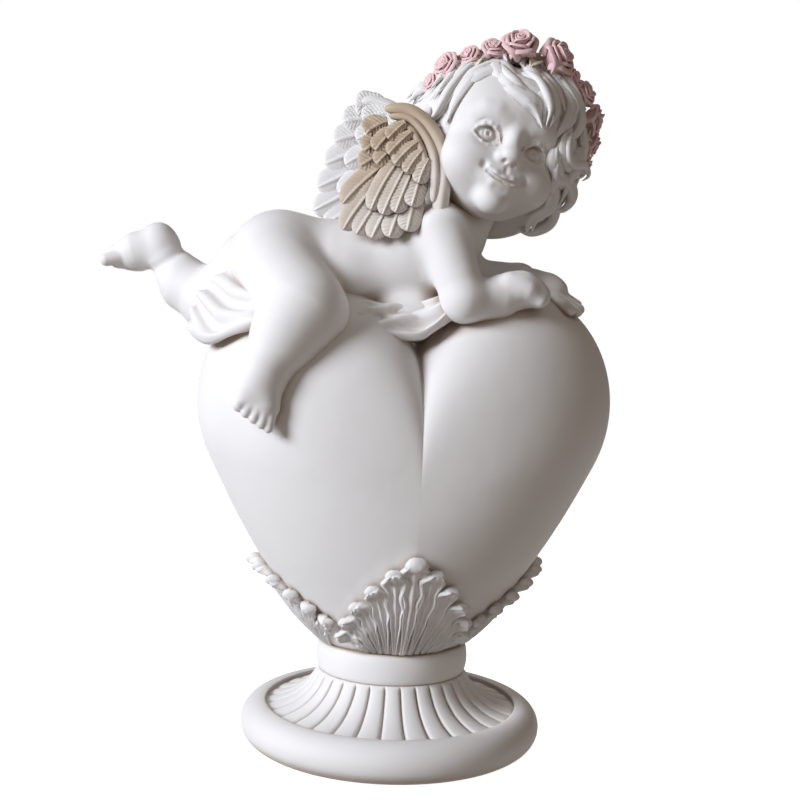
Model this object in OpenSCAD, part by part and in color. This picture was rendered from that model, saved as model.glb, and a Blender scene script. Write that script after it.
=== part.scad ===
// Resin cherub lying on a heart that stands on a fluted pedestal.
// Z is up, the heart's cleft faces -Y, and the origin is the centre of the felt under the foot.
// Every casting is cut back where its neighbour sits, so that glued faces meet and never overlap.

/* [Pedestal] */
// Diameter of the foot over its rolled rim
foot_d = 104; // [88:1:126]
// Height from the table to the neck bead
foot_h = 24; // [20:1:30]
// Thickness of the rolled rim
rim_t = 13; // [10:0.5:16]
// Number of flutes round the foot
flute_count = 32; // [12:1:48]
// Diameter of the neck bead
collar_d = 53; // [44:1:64]
// Height of the neck bead
collar_h = 10; // [7:0.5:13]
// Thickness of the felt under the foot
felt_t = 1.2; // [0.8:0.1:2]

/* [Heart] */
// Width over both lobes
heart_w = 145; // [120:1:175]
// Depth from front to back
heart_d = 90; // [75:1:108]
// Height from the neck bead to the top of the lobes
heart_h = 126; // [105:1:152]
// Wall of the hollow casting
heart_wall = 6; // [4:0.5:8]
// How far the acanthus leaves stand off the heart
leaf_relief = 2.4; // [1.8:0.1:3.2]

/* [Cherub] */
// Diameter of the head over the hair
head_d = 57; // [47:1:64]
// Thickness of the limbs, as a share of the usual one
plumpness = 1; // [0.85:0.05:1.2]
// Thickness of the wing feathers
feather_t = 3.6; // [2.8:0.1:4.6]
// Diameter of the largest rose
rose_d = 12; // [9:0.5:14]
// Diameter of the vine that carries the roses
vine_d = 3.6; // [2.6:0.2:4.6]

/* [Glue joints] */
// Diameter of the spigot that joins foot, bead and heart
spigot_d = 28; // [20:1:34]
// Diameter of the brass dowels
dowel_d = 3; // [2:0.5:4]
// Depth of a dowel in each of its two castings
dowel_depth = 7; // [5:0.5:8]
// Gap for glue round a spigot or a dowel
glue_gap = 0.1; // [0.05:0.05:0.2]

/* [Hidden] */

// paint
resin_white = [0.93, 0.92, 0.90];
feather_tan = [0.78, 0.69, 0.58];
rose_pink = [0.86, 0.62, 0.62];
leaf_cream = [0.86, 0.85, 0.74];
brass = [0.80, 0.66, 0.36];
felt_green = [0.16, 0.30, 0.22];

// how finely round shapes are drawn
fn_round = 96;
fn_ball = 16;
fn_small = 10;
slack = 1; // cutters run past what they cut by this much

// pedestal
rim_r = rim_t / 2;
felt_recess = 0.4;
felt_r = foot_d / 2 - rim_t * 0.62;
foot_base_z = felt_t - felt_recess;
collar_r = collar_d / 2;
seat_z = foot_h + collar_h; // where the heart stands
spigot_r = spigot_d / 2;
spigot_top = seat_z + heart_wall + 2;
flare_outer = [foot_d / 2 - rim_t * 0.58, rim_t * 0.86];
flare_bend = [collar_r + 3.5, foot_h - 11.5];
flare_inner = [collar_r - 1, foot_h];
flare_steps = 10;
groove_depth = 0.9;
groove_share = 0.16; // of one flute's width

// heart outline, seen from the front, with its seat at height 0
neck_r = collar_r - 1.5;
lobe_rx = heart_w * 0.265;
lobe_rz = heart_h / 3;
lobe_x = heart_w / 2 - lobe_rx;
lobe_z = heart_h - lobe_rz;
heart_lean = heart_w * 0.014; // how far the tops of the lobes stand to the right of the seat
heart_mid = [heart_lean * 3 / 7, heart_h * 3 / 7]; // the outline is blown up about this point
cusp_angle = acos(-lobe_x / lobe_rx);
flank_angle = -28;
flank_bend = [neck_r + heart_h * 0.19, heart_h * 0.2];
tip_bend = [neck_r * 0.54, -heart_h * 0.095];
tip = [0, -heart_h / 7];
puff = 0.8; // under 1 the front and back are fuller than an ellipse
neck_share = 0.22; // how much shallower the heart is at its seat than in its middle
taper_z = heart_h * 0.4;
heart_rings = 12;
arc_steps = 12;
flank_steps = 6;
tip_steps = 4;

// design space of the cherub: millimetres on a heart of this size, measured from its seat
design_heart = [145, 90, 126];

// joints of the body as [place, radius]
torso_line = [[[-43, -4, 130], 17], [[-22, -7, 128.5], 15.5], [[1, -10, 133.5], 17],
    [[12, -12, 141], 13.5], [[20, -14, 149], 9]];
hip_stubs = [[[-45, -10, 129], 14], [[-50, 10, 128], 14]];
shoulder_stubs = [[[8, -22, 141], 9], [[17, 2, 142.5], 8.5]];
right_arm_line = [[[9, -25.5, 141], 8.6], [[16, -30, 116.5], 7.4], [[27.5, -28, 117.5], 5.6],
    [[33.5, -25, 121.5], 5.6]];
left_arm_line = [[[17.5, 4, 142.5], 8.2], [[25, 8, 129.5], 7], [[42, 2, 129], 5.4],
    [[50, -5, 126.5], 5.4]];
right_leg_line = [[[-45, -12, 129], 14.5], [[-35, -30, 110.5], 12.5], [[-46, -34, 96], 7.8],
    [[-50, -37, 88], 6.5]];
left_leg_line = [[[-52, 13, 129], 14], [[-65.5, 19, 116.5], 12], [[-77, 24, 123], 9.8],
    [[-86, 26, 136], 7]];
left_foot_line = [[[-88, 26, 140], 6.4], [[-100.5, 27.6, 134.5], 5]];
right_fingers = [[[39, -24, 122], 2.3], [[38.5, -25.5, 119], 2.3], [[36.5, -27, 116.5], 2.3],
    [[34, -28.5, 116], 2.2], [[31, -27, 126.5], 2.4]];
left_fingers = [[[58.5, -8, 120.5], 2.2], [[58.5, -12.5, 118.5], 2.2], [[57, -16.5, 117.5], 2.2],
    [[54, -19, 118], 2.1], [[48.5, -14, 121.5], 2.3]];
right_toes = [[[-54, -38, 81], 2.9], [[-52, -40, 78.5], 2.4], [[-49.5, -40.5, 77], 2.3],
    [[-47, -40.5, 76], 2.2], [[-44.8, -40, 76], 2.1]];
left_toes = [[[-106, 24, 130], 2.8], [[-106.5, 27, 130.5], 2.4], [[-106, 29.5, 131], 2.3],
    [[-105, 31.8, 131.5], 2.2], [[-103.5, 34, 132], 2.1]];

// head
head_at = [26.7, -19, 171.7];
head_turn = [0, 17, 9];
head_scale = head_d / 57;
skull = [[1, 4, 1], 24.5];
jaw = [[0, -7, -14], 14.6];
cheek = [[9.4, -10.5, -13], 8.6];
hair_cap = [[2.5, 5, 0], 28.5];
face_window = [[-1, -35, -9], 31];
curl_count = 13;
curl_ring = 25.5;

feather_w = feather_t * 2.3;
// wings as [root, bend, end] of the leading edge and the tips of the feathers
right_wing_edge = [[8, -23, 147], [7, -31, 165], [-10, -27, 178.5]];
right_wing_tips = [[-13.5, -25, 178], [-16, -24, 171.5], [-17.5, -24, 165], [-19.5, -24, 157],
    [-22.5, -24, 148], [-23, -25, 140.5], [-16, -26, 138], [-8.5, -27, 139.5], [-2, -27, 143]];
left_wing_edge = [[9, -4, 149], [3, 9, 179], [-11, 12, 191]];
left_wing_tips = [[-18, 13, 192.5], [-22, 13.5, 187], [-24.5, 14, 180], [-27.5, 14, 172],
    [-30.5, 14, 163], [-32, 14, 154], [-26, 12, 148], [-16, 10, 149]];

// drape, from its hanging end on the left lobe to the right arm, as the roll along its lower edge
// and the line where it goes under the body
drape_edge = [[[-71, 6, 105.5], 3.2], [[-65, -13, 110.5], 4], [[-54, -24, 114], 4.6],
    [[-42, -27.5, 113.5], 4.6], [[-27, -26.5, 111], 4.8], [[-14, -26.5, 111], 5.2],
    [[-4, -27, 109.5], 5.6], [[4, -28, 112], 5], [[11, -28, 114], 4]];
drape_tuck = [[[-63, 3, 120], 3], [[-57, -6, 120.5], 3.4], [[-50, -13, 119.5], 3.4],
    [[-40, -14, 117], 3.4], [[-27, -13, 115], 3.4], [[-14, -12, 113], 3.4], [[-4, -12, 112], 3.4],
    [[5, -14, 115], 3.4], [[12, -16, 118], 3]];

// wreath: a vine ring that is highest over the brow, and its roses side by side, as shares of
// rose_d, counted from the right of the head over the top to the left
vine_mid = [4, 9, 6];
vine_tilt = 130;
vine_ring_r = 27.5;
rose_shares = [0.6, 0.68, 0.78, 0.68, 0.54, 1, 0.92, 0.6, 0.54, 0.74, 0.54];
top_rose = 5;
top_angle = 86;
rose_gap = 0.5;
// rose leaves as [angle on the ring, side]: they lie under the roses, clear of them
leaf_spots = [[15, -1], [31, 1], [45, -1], [59, 1], [75, -1], [94, 1], [98, -1], [116, -1],
    [131, 1], [145, -1], [292, 1], [318, 1], [340, 1]];

// acanthus leaf lobes as [share of the half width, share of the height]
leaf_half_w = 18;
leaf_h = heart_h * 0.245;
leaf_lobes = [[-1, 0.36], [-0.84, 0.55], [-0.58, 0.78], [-0.29, 0.94], [0, 1], [0.29, 0.94],
    [0.58, 0.78], [0.84, 0.55], [1, 0.36]];

function mix(a, b, s) = a + (b - a) * s;
function bezier(a, b, c, s) = mix(mix(a, b, s), mix(b, c, s), s);
function on_heart(p) = [p.x * heart_w / design_heart.x, p.y * heart_d / design_heart.y,
    seat_z + p.z * heart_h / design_heart.z];
function lobe_at(a) = [lobe_x + lobe_rx * cos(a), lobe_z + lobe_rz * sin(a)];
function mirrored(points) = [for (i = [len(points) - 2 : -1 : 1]) [-points[i].x, points[i].y]];

right_outline = concat(
    [for (i = [0 : arc_steps]) lobe_at(mix(cusp_angle, flank_angle, i / arc_steps))],
    [for (i = [1 : flank_steps])
        bezier(lobe_at(flank_angle), flank_bend, [neck_r, 0], i / flank_steps)],
    [for (i = [1 : tip_steps]) bezier([neck_r, 0], tip_bend, tip, i / tip_steps)]);
outline = [for (p = concat(right_outline, mirrored(right_outline)))
    [p.x + heart_lean * p.y / heart_h, p.y]];

// a point of the blown-up heart: o lies on its outline and t turns from the rim to the front
function taper(z) = z < taper_z ? 1 - neck_share * pow(1 - z / taper_z, 2) : 1;
function grown(o, grow) = heart_mid + (o - heart_mid) * (1 + grow / norm(o - heart_mid));
function heart_at(o, t, grow = 0) =
    let (q = heart_mid + (grown(o, grow) - heart_mid) * pow(cos(t), puff))
    [q.x, -(heart_d / 2 + grow) * sin(t) * taper(q.y), q.y];

// the outline's reach from heart_mid towards a point, and the front surface at that point
function reach(p) = max([for (i = [0 : len(outline) - 1])
    let (a = outline[i] - heart_mid, b = outline[(i + 1) % len(outline)] - heart_mid,
        d = cross(b - a, p), u = d == 0 ? -1 : cross(p, a) / -d, s = d == 0 ? 0 : cross(b - a, a) / -d)
    (u >= -0.001 && u <= 1.001 && abs(s) > 0 ? abs(s) : 0)]);
function front_depth(x, z) =
    let (p = [x, z] - heart_mid, share = min(1, norm(p) < 0.01 ? 0 : 1 / reach(p)))
    heart_d / 2 * sin(acos(pow(share, 1 / puff))) * taper(z);

module heart_form(grow = 0, rings = heart_rings) {
    n = len(outline);
    rows = [for (i = [1 : rings - 1]) let (t = -90 + 180 * i / rings)
        [for (o = outline) heart_at(o, t, grow)]];
    points = concat([heart_at(outline[0], -90, grow)], [for (row = rows) each row],
        [heart_at(outline[0], 90, grow)]);
    last = len(points) - 1;
    faces = concat(
        [for (j = [0 : n - 1]) [0, 1 + (j + 1) % n, 1 + j]],
        [for (i = [0 : rings - 3], j = [0 : n - 1])
            [1 + i * n + j, 1 + i * n + (j + 1) % n, 1 + (i + 1) * n + j]],
        [for (i = [0 : rings - 3], j = [0 : n - 1])
            [1 + i * n + (j + 1) % n, 1 + (i + 1) * n + (j + 1) % n, 1 + (i + 1) * n + j]],
        [for (j = [0 : n - 1]) [last, last - n + j, last - n + (j + 1) % n]]);
    translate([0, 0, seat_z]) polyhedron(points, faces);
}

module half_space(above) {
    size = 2 * (heart_w + heart_h);
    translate([0, 0, above - size / 2]) cube(size, center = true);
}

module heart_solid() {
    difference() {
        heart_form();
        half_space(seat_z);
    }
}

module ball(j, fn = fn_ball) {
    translate(on_heart(j[0])) sphere(r = j[1] * plumpness, $fn = fn);
}

module chain(joints, fn = fn_ball) {
    for (i = [0 : len(joints) - 2]) hull() {
        ball(joints[i], fn);
        ball(joints[i + 1], fn);
    }
}

// five fingers or toes from the last joint of a limb
module digits(from, tips) {
    for (t = tips) hull() {
        ball([from[0], t[1]], fn_small);
        ball(t, fn_small);
    }
}

// ---- pedestal ----

function flare_at(s) = bezier(flare_outer, flare_bend, flare_inner, s);
flare = [for (i = [0 : flare_steps]) flare_at(i / flare_steps)];

module flute_grooves() {
    sweep = 360 / flute_count * groove_share;
    band = concat(flare, [for (i = [flare_steps : -1 : 0]) flare[i] - [groove_depth, groove_depth]]);
    for (i = [0 : flute_count - 1]) rotate(i * 360 / flute_count - sweep / 2)
        rotate_extrude(angle = sweep, $fn = fn_round)
            polygon([for (p = band) p + [0.01, 0.01] * (p.x + p.y > 0 ? 1 : 0)]);
}

module foot() {
    rim_mid = [foot_d / 2 - rim_r, rim_r];
    color(resin_white) difference() {
        union() {
            rotate_extrude($fn = fn_round) polygon(concat([[0, foot_base_z],
                [flare_outer.x, foot_base_z]], flare, [[0, foot_h]]));
            rotate_extrude($fn = fn_round) intersection() {
                translate(rim_mid) circle(r = rim_r, $fn = fn_round);
                translate([rim_mid.x - rim_t, foot_base_z]) square([2 * rim_t, rim_t]);
            }
            cylinder(r = spigot_r, h = spigot_top, $fn = fn_round);
        }
        translate([0, 0, -slack]) cylinder(r = felt_r + glue_gap, h = felt_t + slack, $fn = fn_round);
        flute_grooves();
    }
}

module base_felt() {
    color(felt_green) cylinder(r = felt_r, h = felt_t, $fn = fn_round);
}

module neck_bead() {
    bulge = 1.6;
    round_r = (pow(collar_h / 2, 2) + pow(bulge, 2)) / (2 * bulge);
    color(resin_white) translate([0, 0, foot_h]) difference() {
        rotate_extrude($fn = fn_round) intersection() {
            translate([collar_r - round_r, collar_h / 2]) circle(r = round_r, $fn = fn_round);
            square([collar_r, collar_h]);
        }
        translate([0, 0, -slack])
            cylinder(r = spigot_r + glue_gap, h = collar_h + 2 * slack, $fn = fn_round);
    }
}

// ---- heart ----

module heart_body() {
    color(resin_white) difference() {
        heart_solid();
        difference() {
            heart_form(-heart_wall, 8);
            half_space(seat_z + heart_wall);
        }
        translate([0, 0, seat_z - slack])
            cylinder(r = spigot_r + glue_gap, h = heart_wall + 3 * slack, $fn = fn_round);
    }
}

// lobed outline of an acanthus leaf, standing on its base
function leaf_edge(k) = let (a = leaf_lobes[k], b = leaf_lobes[k + 1])
    [for (p = [a, (a + b) * 0.43]) [p.x * leaf_half_w, p.y * leaf_h]];
leaf_outline = concat([[-leaf_half_w * 0.45, 0]], [for (k = [0 : len(leaf_lobes) - 2])
    each leaf_edge(k)], [[leaf_half_w, leaf_lobes[0].y * leaf_h], [leaf_half_w * 0.45, 0]]);

// the leaf is a skin over the heart, cut to the outline, with a rib up each lobe
module leaf_plate(l) {
    rotate([90, 0, 0]) linear_extrude(height = l) translate([0, seat_z]) polygon(leaf_outline);
}

module rib(points) {
    for (i = [0 : len(points) - 2]) hull() for (j = [i, i + 1])
        translate(points[j]) sphere(r = leaf_relief * mix(0.6, 1, j / 2), $fn = 6);
}

module face_leaf(side) {
    color(resin_white) difference() {
        union() {
            intersection() {
                heart_form(leaf_relief * 0.7);
                rotate(side > 0 ? 0 : 180) leaf_plate(heart_d);
            }
            for (l = leaf_lobes) rib([for (s = [0.1, 0.55, 1])
                let (x = side * l.x * leaf_half_w * pow(s, 0.8), z = 2 + (leaf_h - 2) * l.y * s)
                [x, -side * (front_depth(x, z) + leaf_relief * 0.45), seat_z + z]]);
        }
        heart_solid();
        half_space(seat_z);
    }
}

module flank_leaf(side) {
    spread = 22; // degrees round the heart from the middle of the leaf to its edge
    color(resin_white) difference() {
        union() {
            intersection() {
                heart_form(leaf_relief * 0.7);
                rotate(side * 90) leaf_plate(heart_w);
            }
            for (l = leaf_lobes) rib([for (s = [0.1, 0.55, 1])
                let (o = bezier(lobe_at(flank_angle), flank_bend, [neck_r, 0], 1 - 0.5 * l.y * s),
                    p = heart_at(o, l.x * spread * pow(s, 0.8), leaf_relief * 0.45))
                [side * p.x + heart_lean * p.z / heart_h, p.y, seat_z + max(2, p.z)]]);
        }
        heart_solid();
        half_space(seat_z);
    }
}

// ---- cherub forms, before they are cut to fit ----

module drape_form() {
    for (i = [0 : len(drape_edge) - 2]) hull() for (j = [i, i + 1]) {
        ball(drape_edge[j], fn_small);
        ball(drape_tuck[j], 8);
    }
}

module torso_form() {
    chain(torso_line);
    for (s = hip_stubs) hull() {
        ball(torso_line[0]);
        ball(s);
    }
    for (s = shoulder_stubs) hull() {
        ball(torso_line[3]);
        ball(s);
    }
}

module right_arm_form() {
    chain(right_arm_line);
    digits(right_arm_line[3], right_fingers);
}

module left_arm_form() {
    chain(left_arm_line);
    digits(left_arm_line[3], left_fingers);
}

module right_leg_form() {
    chain(right_leg_line);
    digits(right_leg_line[3], right_toes);
}

module left_leg_form() {
    chain(left_leg_line);
    chain(left_foot_line);
    digits(left_foot_line[1], left_toes);
}

module head_space() {
    translate(on_heart(head_at)) rotate(head_turn) scale(head_scale) children();
}

module head_ball(j, fn = fn_ball) {
    translate(j[0]) sphere(r = j[1], $fn = fn);
}

module head_form() {
    head_space() {
        hull() {
            head_ball(skull, 22);
            head_ball(jaw);
        }
        for (side = [1, -1]) {
            hull() {
                head_ball([[side * cheek[0].x, cheek[0].y, cheek[0].z], cheek[1]]);
                head_ball([[side * 4, -12, -17], 8]);
            }
            hull() {
                head_ball([[side * 4, -19.4, 1], 2.4], fn_small);
                head_ball([[side * 12, -17, 0.5], 2.4], fn_small);
            }
            head_ball([[side * 8, -17.2, -5], 3.4], fn_small);
        }
        hull() {
            head_ball([[0, -19.5, -3], 2.2], fn_small);
            head_ball([[0, -22.6, -10.5], 2.7], fn_small);
        }
        hull() {
            head_ball([[-4.8, -20.4, -18], 1.8], fn_small);
            head_ball([[4.8, -20.4, -18], 1.8], fn_small);
        }
        hull() {
            head_ball([[-1.5, -18, -24], 4.2], fn_small);
            head_ball([[1.5, -18, -24], 4.2], fn_small);
        }
    }
}

// a cap over the skull with a ring of curls round the face
module hair_form() {
    head_space() {
        difference() {
            head_ball(hair_cap, 24);
            head_ball(face_window, 24);
            translate([0, -24, -38]) rotate([-20, 0, 0]) cube([80, 60, 34], center = true);
        }
        for (i = [0 : curl_count - 1]) {
            a = mix(-52, 196, i / (curl_count - 1));
            r = curl_ring + 1.2 * (i % 2);
            hull() {
                head_ball([[hair_cap[0].x + r * cos(a), -7 + 2.5 * (i % 2), r * sin(a)], 3.8], 6);
                head_ball([[hair_cap[0].x + (r + 1.5) * cos(a + 9), 4, (r + 1.5) * sin(a + 9)], 4], 6);
            }
        }
    }
}

module wing_form(edge, tips) {
    edge_r = feather_t * 0.75;
    points = [for (p = edge) on_heart(p)];
    hull() { // the coverts close the fan near its leading edge
        for (p = points) translate(p) sphere(r = feather_t * 0.45, $fn = fn_small);
        for (k = [0 : len(tips) - 1]) let (s = 2 - 2 * k / (len(tips) - 1) * 0.92)
            translate(mix(s > 1 ? mix(points[1], points[2], s - 1) : mix(points[0], points[1], s),
                on_heart(tips[k]), 0.6)) sphere(r = feather_t * 0.3, $fn = 6);
    }
    for (i = [0, 1]) hull() {
        translate(points[i]) sphere(r = edge_r * (i == 0 ? 1.25 : 1), $fn = fn_small);
        translate(points[i + 1]) sphere(r = edge_r, $fn = fn_small);
    }
    for (k = [0 : len(tips) - 1]) {
        s = 2 - 2 * k / (len(tips) - 1) * 0.92;
        from = s > 1 ? mix(points[1], points[2], s - 1) : mix(points[0], points[1], s);
        hull() {
            translate(from) sphere(d = feather_t * 0.8, $fn = fn_small);
            translate(on_heart(tips[k])) rotate([90, 0, 0])
                cylinder(r = feather_w / 2, h = feather_t * 0.6, center = true, $fn = fn_small);
        }
    }
}

// ---- dowels between castings, as [one end, other end] ----

function unit(v) = v / norm(v);

// a dowel through the skin of a ball of the torso, in the direction of another joint
function joint_dowel(from, to) = let (along = unit(on_heart(to) - on_heart(from[0])),
    skin = on_heart(from[0]) + along * from[1] * plumpness)
    [skin - along * dowel_depth, skin + along * dowel_depth];

neck_pin = joint_dowel(torso_line[4], head_at);
arm_pins = [joint_dowel(shoulder_stubs[0], right_arm_line[1][0]),
    joint_dowel(shoulder_stubs[1], left_arm_line[1][0])];
leg_pins = [joint_dowel(hip_stubs[0], right_leg_line[1][0]),
    joint_dowel(hip_stubs[1], left_leg_line[1][0])];
wing_pins = [joint_dowel(shoulder_stubs[0], mix(right_wing_edge[0], right_wing_edge[1], 0.9)),
    joint_dowel([mix(torso_line[3][0], left_wing_edge[0], 0.3), torso_line[3][1] * 0.8],
        mix(left_wing_edge[0], left_wing_edge[1], 0.4))];

module pin(ends, grow = 0) {
    v = ends[1] - ends[0];
    translate(ends[0] - unit(v) * grow)
        rotate([0, acos(v.z / norm(v)), atan2(v.y, v.x)])
            cylinder(d = dowel_d + 2 * grow, h = norm(v) + 2 * grow, $fn = 24);
}

module pin_holes() {
    for (ends = concat([neck_pin], arm_pins, leg_pins, wing_pins)) pin(ends, glue_gap);
}

// ---- cherub castings ----

module torso() {
    color(resin_white) difference() {
        torso_form();
        heart_solid();
        pin_holes();
    }
}

module head() {
    color(resin_white) difference() {
        head_form();
        torso_form();
        wreath_space() vine_ring(vine_d + 2 * glue_gap);
        pin_holes();
    }
}

module right_arm() {
    color(resin_white) difference() {
        right_arm_form();
        torso_form();
        heart_solid();
        head_form();
        pin_holes();
    }
}

module left_arm() {
    color(resin_white) difference() {
        left_arm_form();
        torso_form();
        heart_solid();
        head_form();
        right_arm_form();
        pin_holes();
    }
}

module right_leg() {
    color(resin_white) difference() {
        right_leg_form();
        torso_form();
        drape_form();
        heart_solid();
        pin_holes();
    }
}

module left_leg() {
    color(resin_white) difference() {
        left_leg_form();
        torso_form();
        heart_solid();
        right_leg_form();
        pin_holes();
    }
}

module right_wing() {
    color(feather_tan) difference() {
        wing_form(right_wing_edge, right_wing_tips);
        torso_form();
        right_arm_form();
        head_form();
        pin_holes();
    }
}

module left_wing() {
    color(resin_white) difference() {
        wing_form(left_wing_edge, left_wing_tips);
        torso_form();
        left_arm_form();
        head_form();
        right_wing_form();
        wreath_space() vine_ring(vine_d + 2 * glue_gap);
        pin_holes();
    }
}

module right_wing_form() {
    wing_form(right_wing_edge, right_wing_tips);
}

module hair() {
    color(resin_white) difference() {
        hair_form();
        head_form();
        torso_form();
        left_arm_form();
        right_wing_form();
        wing_form(left_wing_edge, left_wing_tips);
        wreath_space() vine_ring(vine_d + 2 * glue_gap);
        for (i = [0 : len(rose_shares) - 1]) rose_seat(i);
    }
}

module drape() {
    color(resin_white) difference() {
        drape_form();
        torso_form();
        left_leg_form();
        right_arm_form();
        heart_solid();
        pin_holes();
    }
}

// ---- wreath ----

function rose_r(i) = rose_d * rose_shares[i] / 2 / head_scale;
function rose_step(i) = (rose_r(i) + rose_r(i + 1) + rose_gap) * 180 / PI
    / (vine_ring_r + vine_d / 2 + 0.8 * min(rose_r(i), rose_r(i + 1)));
function rose_angle(i) = i == top_rose ? top_angle
    : i > top_rose ? rose_angle(i - 1) + rose_step(i - 1) : rose_angle(i + 1) - rose_step(i);

module wreath_space() {
    head_space() translate(vine_mid) rotate([vine_tilt, 0, 0]) children();
}

module vine_ring(d) {
    rotate_extrude($fn = 60) translate([vine_ring_r, 0]) circle(d = d, $fn = 16);
}

module wreath_vine() {
    color(leaf_cream) wreath_space() vine_ring(vine_d);
}

// an open rose turned from one profile: a calyx, outer petals, a furrow and the bud
module rose(d) {
    r = d / 2;
    rotate_extrude($fn = 32) polygon([[0, 0], [r * 0.45, 0], [r * 0.8, r * 0.3], [r, r * 0.8],
        [r * 0.92, r * 1.2], [r * 0.78, r * 1.28], [r * 0.66, r * 1.05], [r * 0.56, r * 1.1],
        [r * 0.46, r * 1.42], [r * 0.26, r * 1.55], [0, r * 1.4]]);
}

module rose_at(i) {
    color(rose_pink) wreath_space() rotate(rose_angle(i))
        translate([vine_ring_r + vine_d / 2, 0, 0]) rotate([0, 90, 0]) rose(2 * rose_r(i));
}

// the room that a rose takes in the hair
module rose_seat(i) {
    wreath_space() rotate(rose_angle(i))
        translate([vine_ring_r + vine_d / 2 - glue_gap, 0, 0]) rotate([0, 90, 0])
            cylinder(r = (rose_r(i) + glue_gap) / cos(18), h = 2 * rose_r(i), $fn = 10);
}

module wreath_leaves() {
    color(leaf_cream) difference() {
        wreath_space() for (spot = leaf_spots) rotate(spot[0]) hull() {
            translate([vine_ring_r, 0, spot[1] * vine_d * 0.4]) sphere(r = 0.8, $fn = 6);
            for (turn = [-4, 4]) rotate(turn) translate([vine_ring_r + vine_d * 0.2, 0,
                spot[1] * (vine_d / 2 + 3)]) sphere(r = 0.9, $fn = 6);
            translate([vine_ring_r + vine_d * 0.25, 0, spot[1] * (vine_d / 2 + 7)])
                sphere(r = 0.6, $fn = 6);
        }
        wreath_space() vine_ring(vine_d + 2 * glue_gap);
        hair_form();
        right_wing_form();
        wing_form(left_wing_edge, left_wing_tips);
    }
}

foot();
base_felt();
neck_bead();
heart_body();
face_leaf(1);  // leaf_front
face_leaf(-1);  // leaf_back
flank_leaf(-1);  // leaf_left
flank_leaf(1);  // leaf_right
torso();
head();
hair();
right_arm();
left_arm();
right_leg();
left_leg();
right_wing();
left_wing();
drape();
wreath_vine();
wreath_leaves();
for (i = [0 : len(rose_shares) - 1]) {
    rose_at(i);
}
color(brass) pin(neck_pin);  // neck_dowel
color(brass) for (p = arm_pins) pin(p);  // arm_dowels
color(brass) for (p = leg_pins) pin(p);  // leg_dowels
color(brass) for (p = wing_pins) pin(p);  // wing_dowels
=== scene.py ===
import math
import bmesh
import bpy
import numpy as np
from mathutils import Matrix, Vector


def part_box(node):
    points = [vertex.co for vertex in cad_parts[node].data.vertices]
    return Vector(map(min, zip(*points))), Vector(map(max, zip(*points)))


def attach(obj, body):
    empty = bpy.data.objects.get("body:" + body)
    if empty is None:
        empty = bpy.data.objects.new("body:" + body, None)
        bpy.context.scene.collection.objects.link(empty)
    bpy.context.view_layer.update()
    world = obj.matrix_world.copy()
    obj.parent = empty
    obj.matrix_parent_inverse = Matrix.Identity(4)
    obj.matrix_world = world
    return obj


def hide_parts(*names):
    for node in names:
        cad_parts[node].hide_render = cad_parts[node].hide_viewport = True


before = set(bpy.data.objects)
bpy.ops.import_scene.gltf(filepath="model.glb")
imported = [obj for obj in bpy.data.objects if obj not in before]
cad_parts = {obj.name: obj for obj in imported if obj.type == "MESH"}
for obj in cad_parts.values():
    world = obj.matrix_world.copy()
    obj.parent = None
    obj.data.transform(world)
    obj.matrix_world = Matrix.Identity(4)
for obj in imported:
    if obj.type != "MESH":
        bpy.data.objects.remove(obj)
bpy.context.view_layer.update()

# Cherub lying on a heart, cast in resin and painted by hand. Shapes are worked out in millimetres
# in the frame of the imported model, and addPiece turns them to metres.
perMetre = 1000.0  # millimetres
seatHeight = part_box("neck_bead")[1][2] * perMetre  # where the heart stands on the bead
print("frame loaded, the heart stands at", round(seatHeight, 2), "mm")


def unit(v):
    return v / np.maximum(np.linalg.norm(v, axis=-1, keepdims=True), 1e-9)


def ramp(x, start, end):
    # 0 before start, 1 after end, and 3t2 - 2t3 between them
    t = np.clip((x - start) / (end - start), 0, 1)
    return t * t * (3 - 2 * t)


def bend(a, b, c, t):
    # quadratic curve from a to c that leaves towards b
    return a * (1 - t) ** 2 + b * 2 * t * (1 - t) + c * t ** 2


def throughPoints(points, count):
    # smooth curve through the given points (Catmull-Rom), at count even steps
    p = np.asarray(points, float)
    p = np.concatenate([2 * p[:1] - p[1:2], p, 2 * p[-1:] - p[-2:-1]])
    t = np.linspace(0, len(p) - 3 - 1e-6, count)
    i, f = t.astype(int), (t % 1)[:, None]
    a, b, c, d = p[i], p[i + 1], p[i + 2], p[i + 3]
    return 0.5 * (2 * b + (c - a) * f + (2 * a - 5 * b + 4 * c - d) * f ** 2
                  + (3 * b - a - 3 * c + d) * f ** 3)


def gridFaces(rows, columns, copies=1, closed=True):
    # quads between neighbouring rows, the last column meeting the first where the rows are loops
    i, j = np.meshgrid(np.arange(rows - 1), np.arange(columns if closed else columns - 1),
                       indexing="ij")
    a, b = i * columns + j, i * columns + (j + 1) % columns
    quads = np.stack([a, b, b + columns, a + columns], -1).reshape(-1, 4)
    starts = np.arange(copies) * rows * columns
    return (quads[None] + starts[:, None, None]).reshape(-1, 4)


def pinchEnds(strips):
    # draws the first and the last row of each strip together to a point
    for row in (0, -1):
        strips[:, row] = strips[:, row].mean(1, keepdims=True)


def joinGrids(*grids):
    # several (points, faces) as one
    points, faces, start = [], [], 0
    for p, f in grids:
        p = np.asarray(p).reshape(-1, 3)
        points.append(p)
        faces.append(f + start)
        start += len(p)
    return np.concatenate(points), np.concatenate(faces)


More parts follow.
